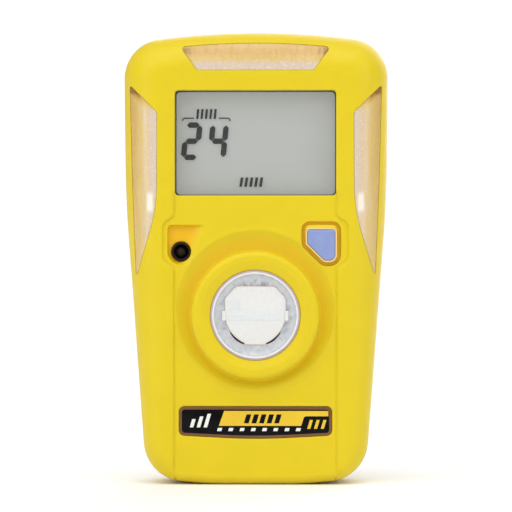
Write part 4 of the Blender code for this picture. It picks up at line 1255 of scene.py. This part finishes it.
def make_ears(shell, corners, inner, outer):
    """A pair of ears, from (y, z) corners, between two distances from the middle."""
    for side in (-1, 1):
        shell.slab(rounded(corners), *sorted((side * outer, side * inner)), 0.12, 0.12, sideways=True)


def make_clip_plate():
    """The clip's fixed plate, with the ears that carry the pin and a toothed lip at its lower end."""
    plate, hole = bar(0, CLIP_Z, 5.5, 19.0, 1.1), circle(0, CLIP_SCREW_Z, 1.6, HOLE_STEPS)
    edges = [(0.15, 6.9), (0.04, 6.94), (0.0, 7.05), (0.0, 7.55), (0.04, 7.66), (0.15, 7.7)]
    shell = Shell()
    outer = shell.stack([(inset(plate, inward), y) for inward, y in edges])
    inner = shell.stack([(inset(hole, -outward), y) for outward, y in edges])
    for end in (0, -1):
        shell.fill(outer[end], [inner[end]])
    ear = [(7.1, 54.2, 0.3), (9.2, 55.2, 1.2), (11.9, 56.4, 1.4), (11.9, 59.6, 1.4), (9.2, 60.8, 1.2)]
    make_ears(shell, [*ear, (7.1, 61.8, 0.3)], 4.8, 5.5)
    shell.slab(bar(0, JAW_Z, 4.6, 0.4, 0.15), 7.2, 7.95, 0, 0.1)
    for i in range(4):
        shell.slab(bar(-3.75 + 2.5 * i, JAW_Z, 0.65, 0.4, 0.15), 7.6, 8.5, 0, 0.15)
    shell.build("clip_plate", "steel", "clip_base", sharp=30)


def make_spring():
    """A torsion spring round the pin: one leg rests on the plate, and the other rests against the lever."""
    turns, half_width = 4.5, 2.4
    share = np.linspace(0, 1, 110)
    angle = -math.pi / 2 - math.tau * turns * share
    y, z = PIVOT_Y + SPRING_RADIUS * np.sin(angle), PIVOT_Z + SPRING_RADIUS * np.cos(angle)
    coil = np.column_stack((half_width * (2 * share - 1), y, z))
    along = np.linspace(0, 1, 8, endpoint=False)[:, None]
    foot, tip = np.array([(-half_width, 8.03, PIVOT_Z + 5.5), (half_width, 12.66, PIVOT_Z + 5.5)])
    path = np.vstack((foot + (coil[0] - foot) * along, coil, (tip + (coil[-1] - tip) * along)[::-1]))
    ahead = unit(np.gradient(path, axis=0))
    side = unit(np.array((1.0, 0.0, 0.0)) - ahead * ahead[:, :1])
    turn = np.linspace(0, math.tau, 10, endpoint=False)[:, None]
    shell = Shell()
    rings = []
    for place, right, up in zip(path, side, np.cross(ahead, side)):
        rings.append(shell.ring(place + SPRING_WIRE * (np.cos(turn) * right + np.sin(turn) * up)))
    shell.band(*rings)
    shell.cap(rings[0], rings[-1])
    item = shell.build("clip_torsion_spring", "steel", "clip_spring", body=None, sharp=60)
    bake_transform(item)


# ---------------------------------------------------------------- CAD nodes that stay

# For each material, the bevel's width and the nodes it rounds.
KEPT_NODES = [
    ("rubber", 0.05, "case_seal zebra_strip_lower zebra_strip_upper battery_pad motor_cradle sensor_gasket"),
    ("white", 0, "alarm_led_left alarm_led_right alarm_led_top_left alarm_led_top_right"),
    ("white", 0.08, "backlight_diffuser sensor_cell switch_plunger"),
    ("black", 0.06, "display_frame buzzer button_switch controller_chip sensor_amplifier buzzer_inductor"),
    ("steel", 0.04, "battery_tab_positive battery_tab_negative clock_crystal vibration_motor motor_shaft"),
    ("steel", 0.08, "clip_pin"),
    ("gold", 0.05, "sensor_pin_1 sensor_pin_2 sensor_pin_3"),
    ("screw_steel", 0.06, "cover_screw_1 cover_screw_2 cover_screw_3 cover_screw_4 clip_screw"),
    ("screw_steel", 0.08, "motor_weight"),
    ("board", 0.03, "circuit_board"),
    ("cell", 0, "battery_cell"),
]


def smooth_group():
    """A geometry node group that shades smooth, apart from sharp edges."""
    group = bpy.data.node_groups.new("smooth_by_angle", "GeometryNodeTree")
    for in_out in ("INPUT", "OUTPUT"):
        group.interface.new_socket("Geometry", in_out=in_out, socket_type="NodeSocketGeometry")
    tree = Tree(group)
    start = tree.node("NodeGroupInput").outputs[0]
    smooth = tree.node("GeometryNodeSetShadeSmooth", {"Geometry": start}).outputs["Geometry"]
    angle = tree.node("GeometryNodeInputMeshEdgeAngle").outputs["Unsigned Angle"]
    sharp = tree.node("FunctionNodeCompare", {0: angle, 1: SHARP_ANGLE}, operation="GREATER_THAN")
    inputs = {"Geometry": smooth, "Selection": sharp.outputs["Result"], "Shade Smooth": False}
    edges = tree.node("GeometryNodeSetShadeSmooth", inputs, domain="EDGE").outputs["Geometry"]
    tree.node("NodeGroupOutput", {0: edges})
    return group


def refine(node, material, bevel, smooth):
    """Gives a CAD node its material, rounds its edges and shades it smooth."""
    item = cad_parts[node]
    item.data.materials.clear()
    item.data.materials.append(MATERIALS[material])
    item.modifiers.new("weld", "WELD").merge_threshold = WELD_DISTANCE * MM
    if bevel:
        rounding = item.modifiers.new("round_edges", "BEVEL")
        rounding.width = bevel * MM
        rounding.segments = 2
        rounding.limit_method = "ANGLE"
        rounding.angle_limit = SHARP_ANGLE
    item.modifiers.new("smooth_by_angle", "NODES").node_group = smooth


def refine_kept_nodes():
    smooth = smooth_group()
    for material, bevel, nodes in KEPT_NODES:
        for node in nodes.split():
            refine(node, material, bevel, smooth)


# ---------------------------------------------------------------- stage


def make_camera():
    camera = link("camera", bpy.data.cameras.new("camera"))
    camera.data.lens = 200.0
    camera.data.sensor_width = 36.0
    camera.data.clip_end = 20.0
    camera.location = Vector((9.8, -555.6, 43.8)) * MM
    camera.rotation_euler = (math.pi / 2, 0, math.radians(1.02))
    bpy.context.scene.camera = camera


def make_floor():
    corners = [(-8.0, -8.0, 0), (8.0, -8.0, 0), (8.0, 8.0, 0), (-8.0, 8.0, 0)]
    mesh = bpy.data.meshes.new("floor")
    mesh.from_pydata(corners, [], [range(4)])
    graph = Graph("floor_pale")
    wash = graph.noise(220.0, 2.0)
    base = graph.ramp(wash, (0.3, (0.90, 0.90, 0.90)), (0.7, (0.93, 0.93, 0.925)))
    mesh.materials.append(graph.finish(base, 0.75))
    link("floor", mesh)


def make_light(name, kind, location, target, energy, **settings):
    light = bpy.data.lights.new(name, kind)
    light.energy = energy
    for setting, value in settings.items():
        setattr(light, setting, value)
    item = link(name, light)
    item.location = location
    item.rotation_euler = (Vector(target) - item.location).to_track_quat("-Z", "Y").to_euler()


def make_world():
    """A white backdrop that lights the object at less than its own brightness."""
    world = bpy.data.worlds.new("studio")
    world.use_nodes = True
    tree = Tree(world.node_tree)
    seen = tree.node("ShaderNodeLightPath").outputs["Is Camera Ray"]
    strengths = {"Value": seen, "To Min": WORLD_LIGHT, "To Max": BACKDROP_LIGHT}
    strength = tree.node("ShaderNodeMapRange", strengths).outputs["Result"]
    tree.wire(tree.tree.nodes["Background"], {"Color": (1.0, 1.0, 1.0, 1.0), "Strength": strength})
    bpy.context.scene.world = world


def make_studio():
    """Broad suns, so that the far floor is as bright as the near, and a softbox on either side."""
    make_world()
    for name, direction, spread, strength in (
        ("left_top_light", (-0.45, -0.55, 1.0), 70, 1.45),
        ("right_top_light", (0.55, -0.55, 1.0), 70, 0.85),
        ("rear_light", (0.4, 1.0, 0.5), 60, 1.2),
    ):
        make_light(name, "SUN", direction, (0, 0, 0), strength, angle=math.radians(spread))
    for name, x, power in (("left_softbox", -0.60, 0.9), ("right_softbox", 0.60, 0.7)):
        panel = {"shape": "RECTANGLE", "size": 0.18, "size_y": 0.8}
        make_light(name, "AREA", (x, -0.42, 0.10), (0, 0, 0.045), power, **panel)
    bpy.context.scene.view_settings.view_transform = "Standard"


make_camera()
make_studio()
make_floor()
make_front_cover()
make_rear_cover()
make_alarm_windows()
make_display()
make_key()
make_grommet()
make_sensor()
make_name_plate()
make_rear_label()
make_lever()
make_clip_plate()
make_spring()
refine_kept_nodes()
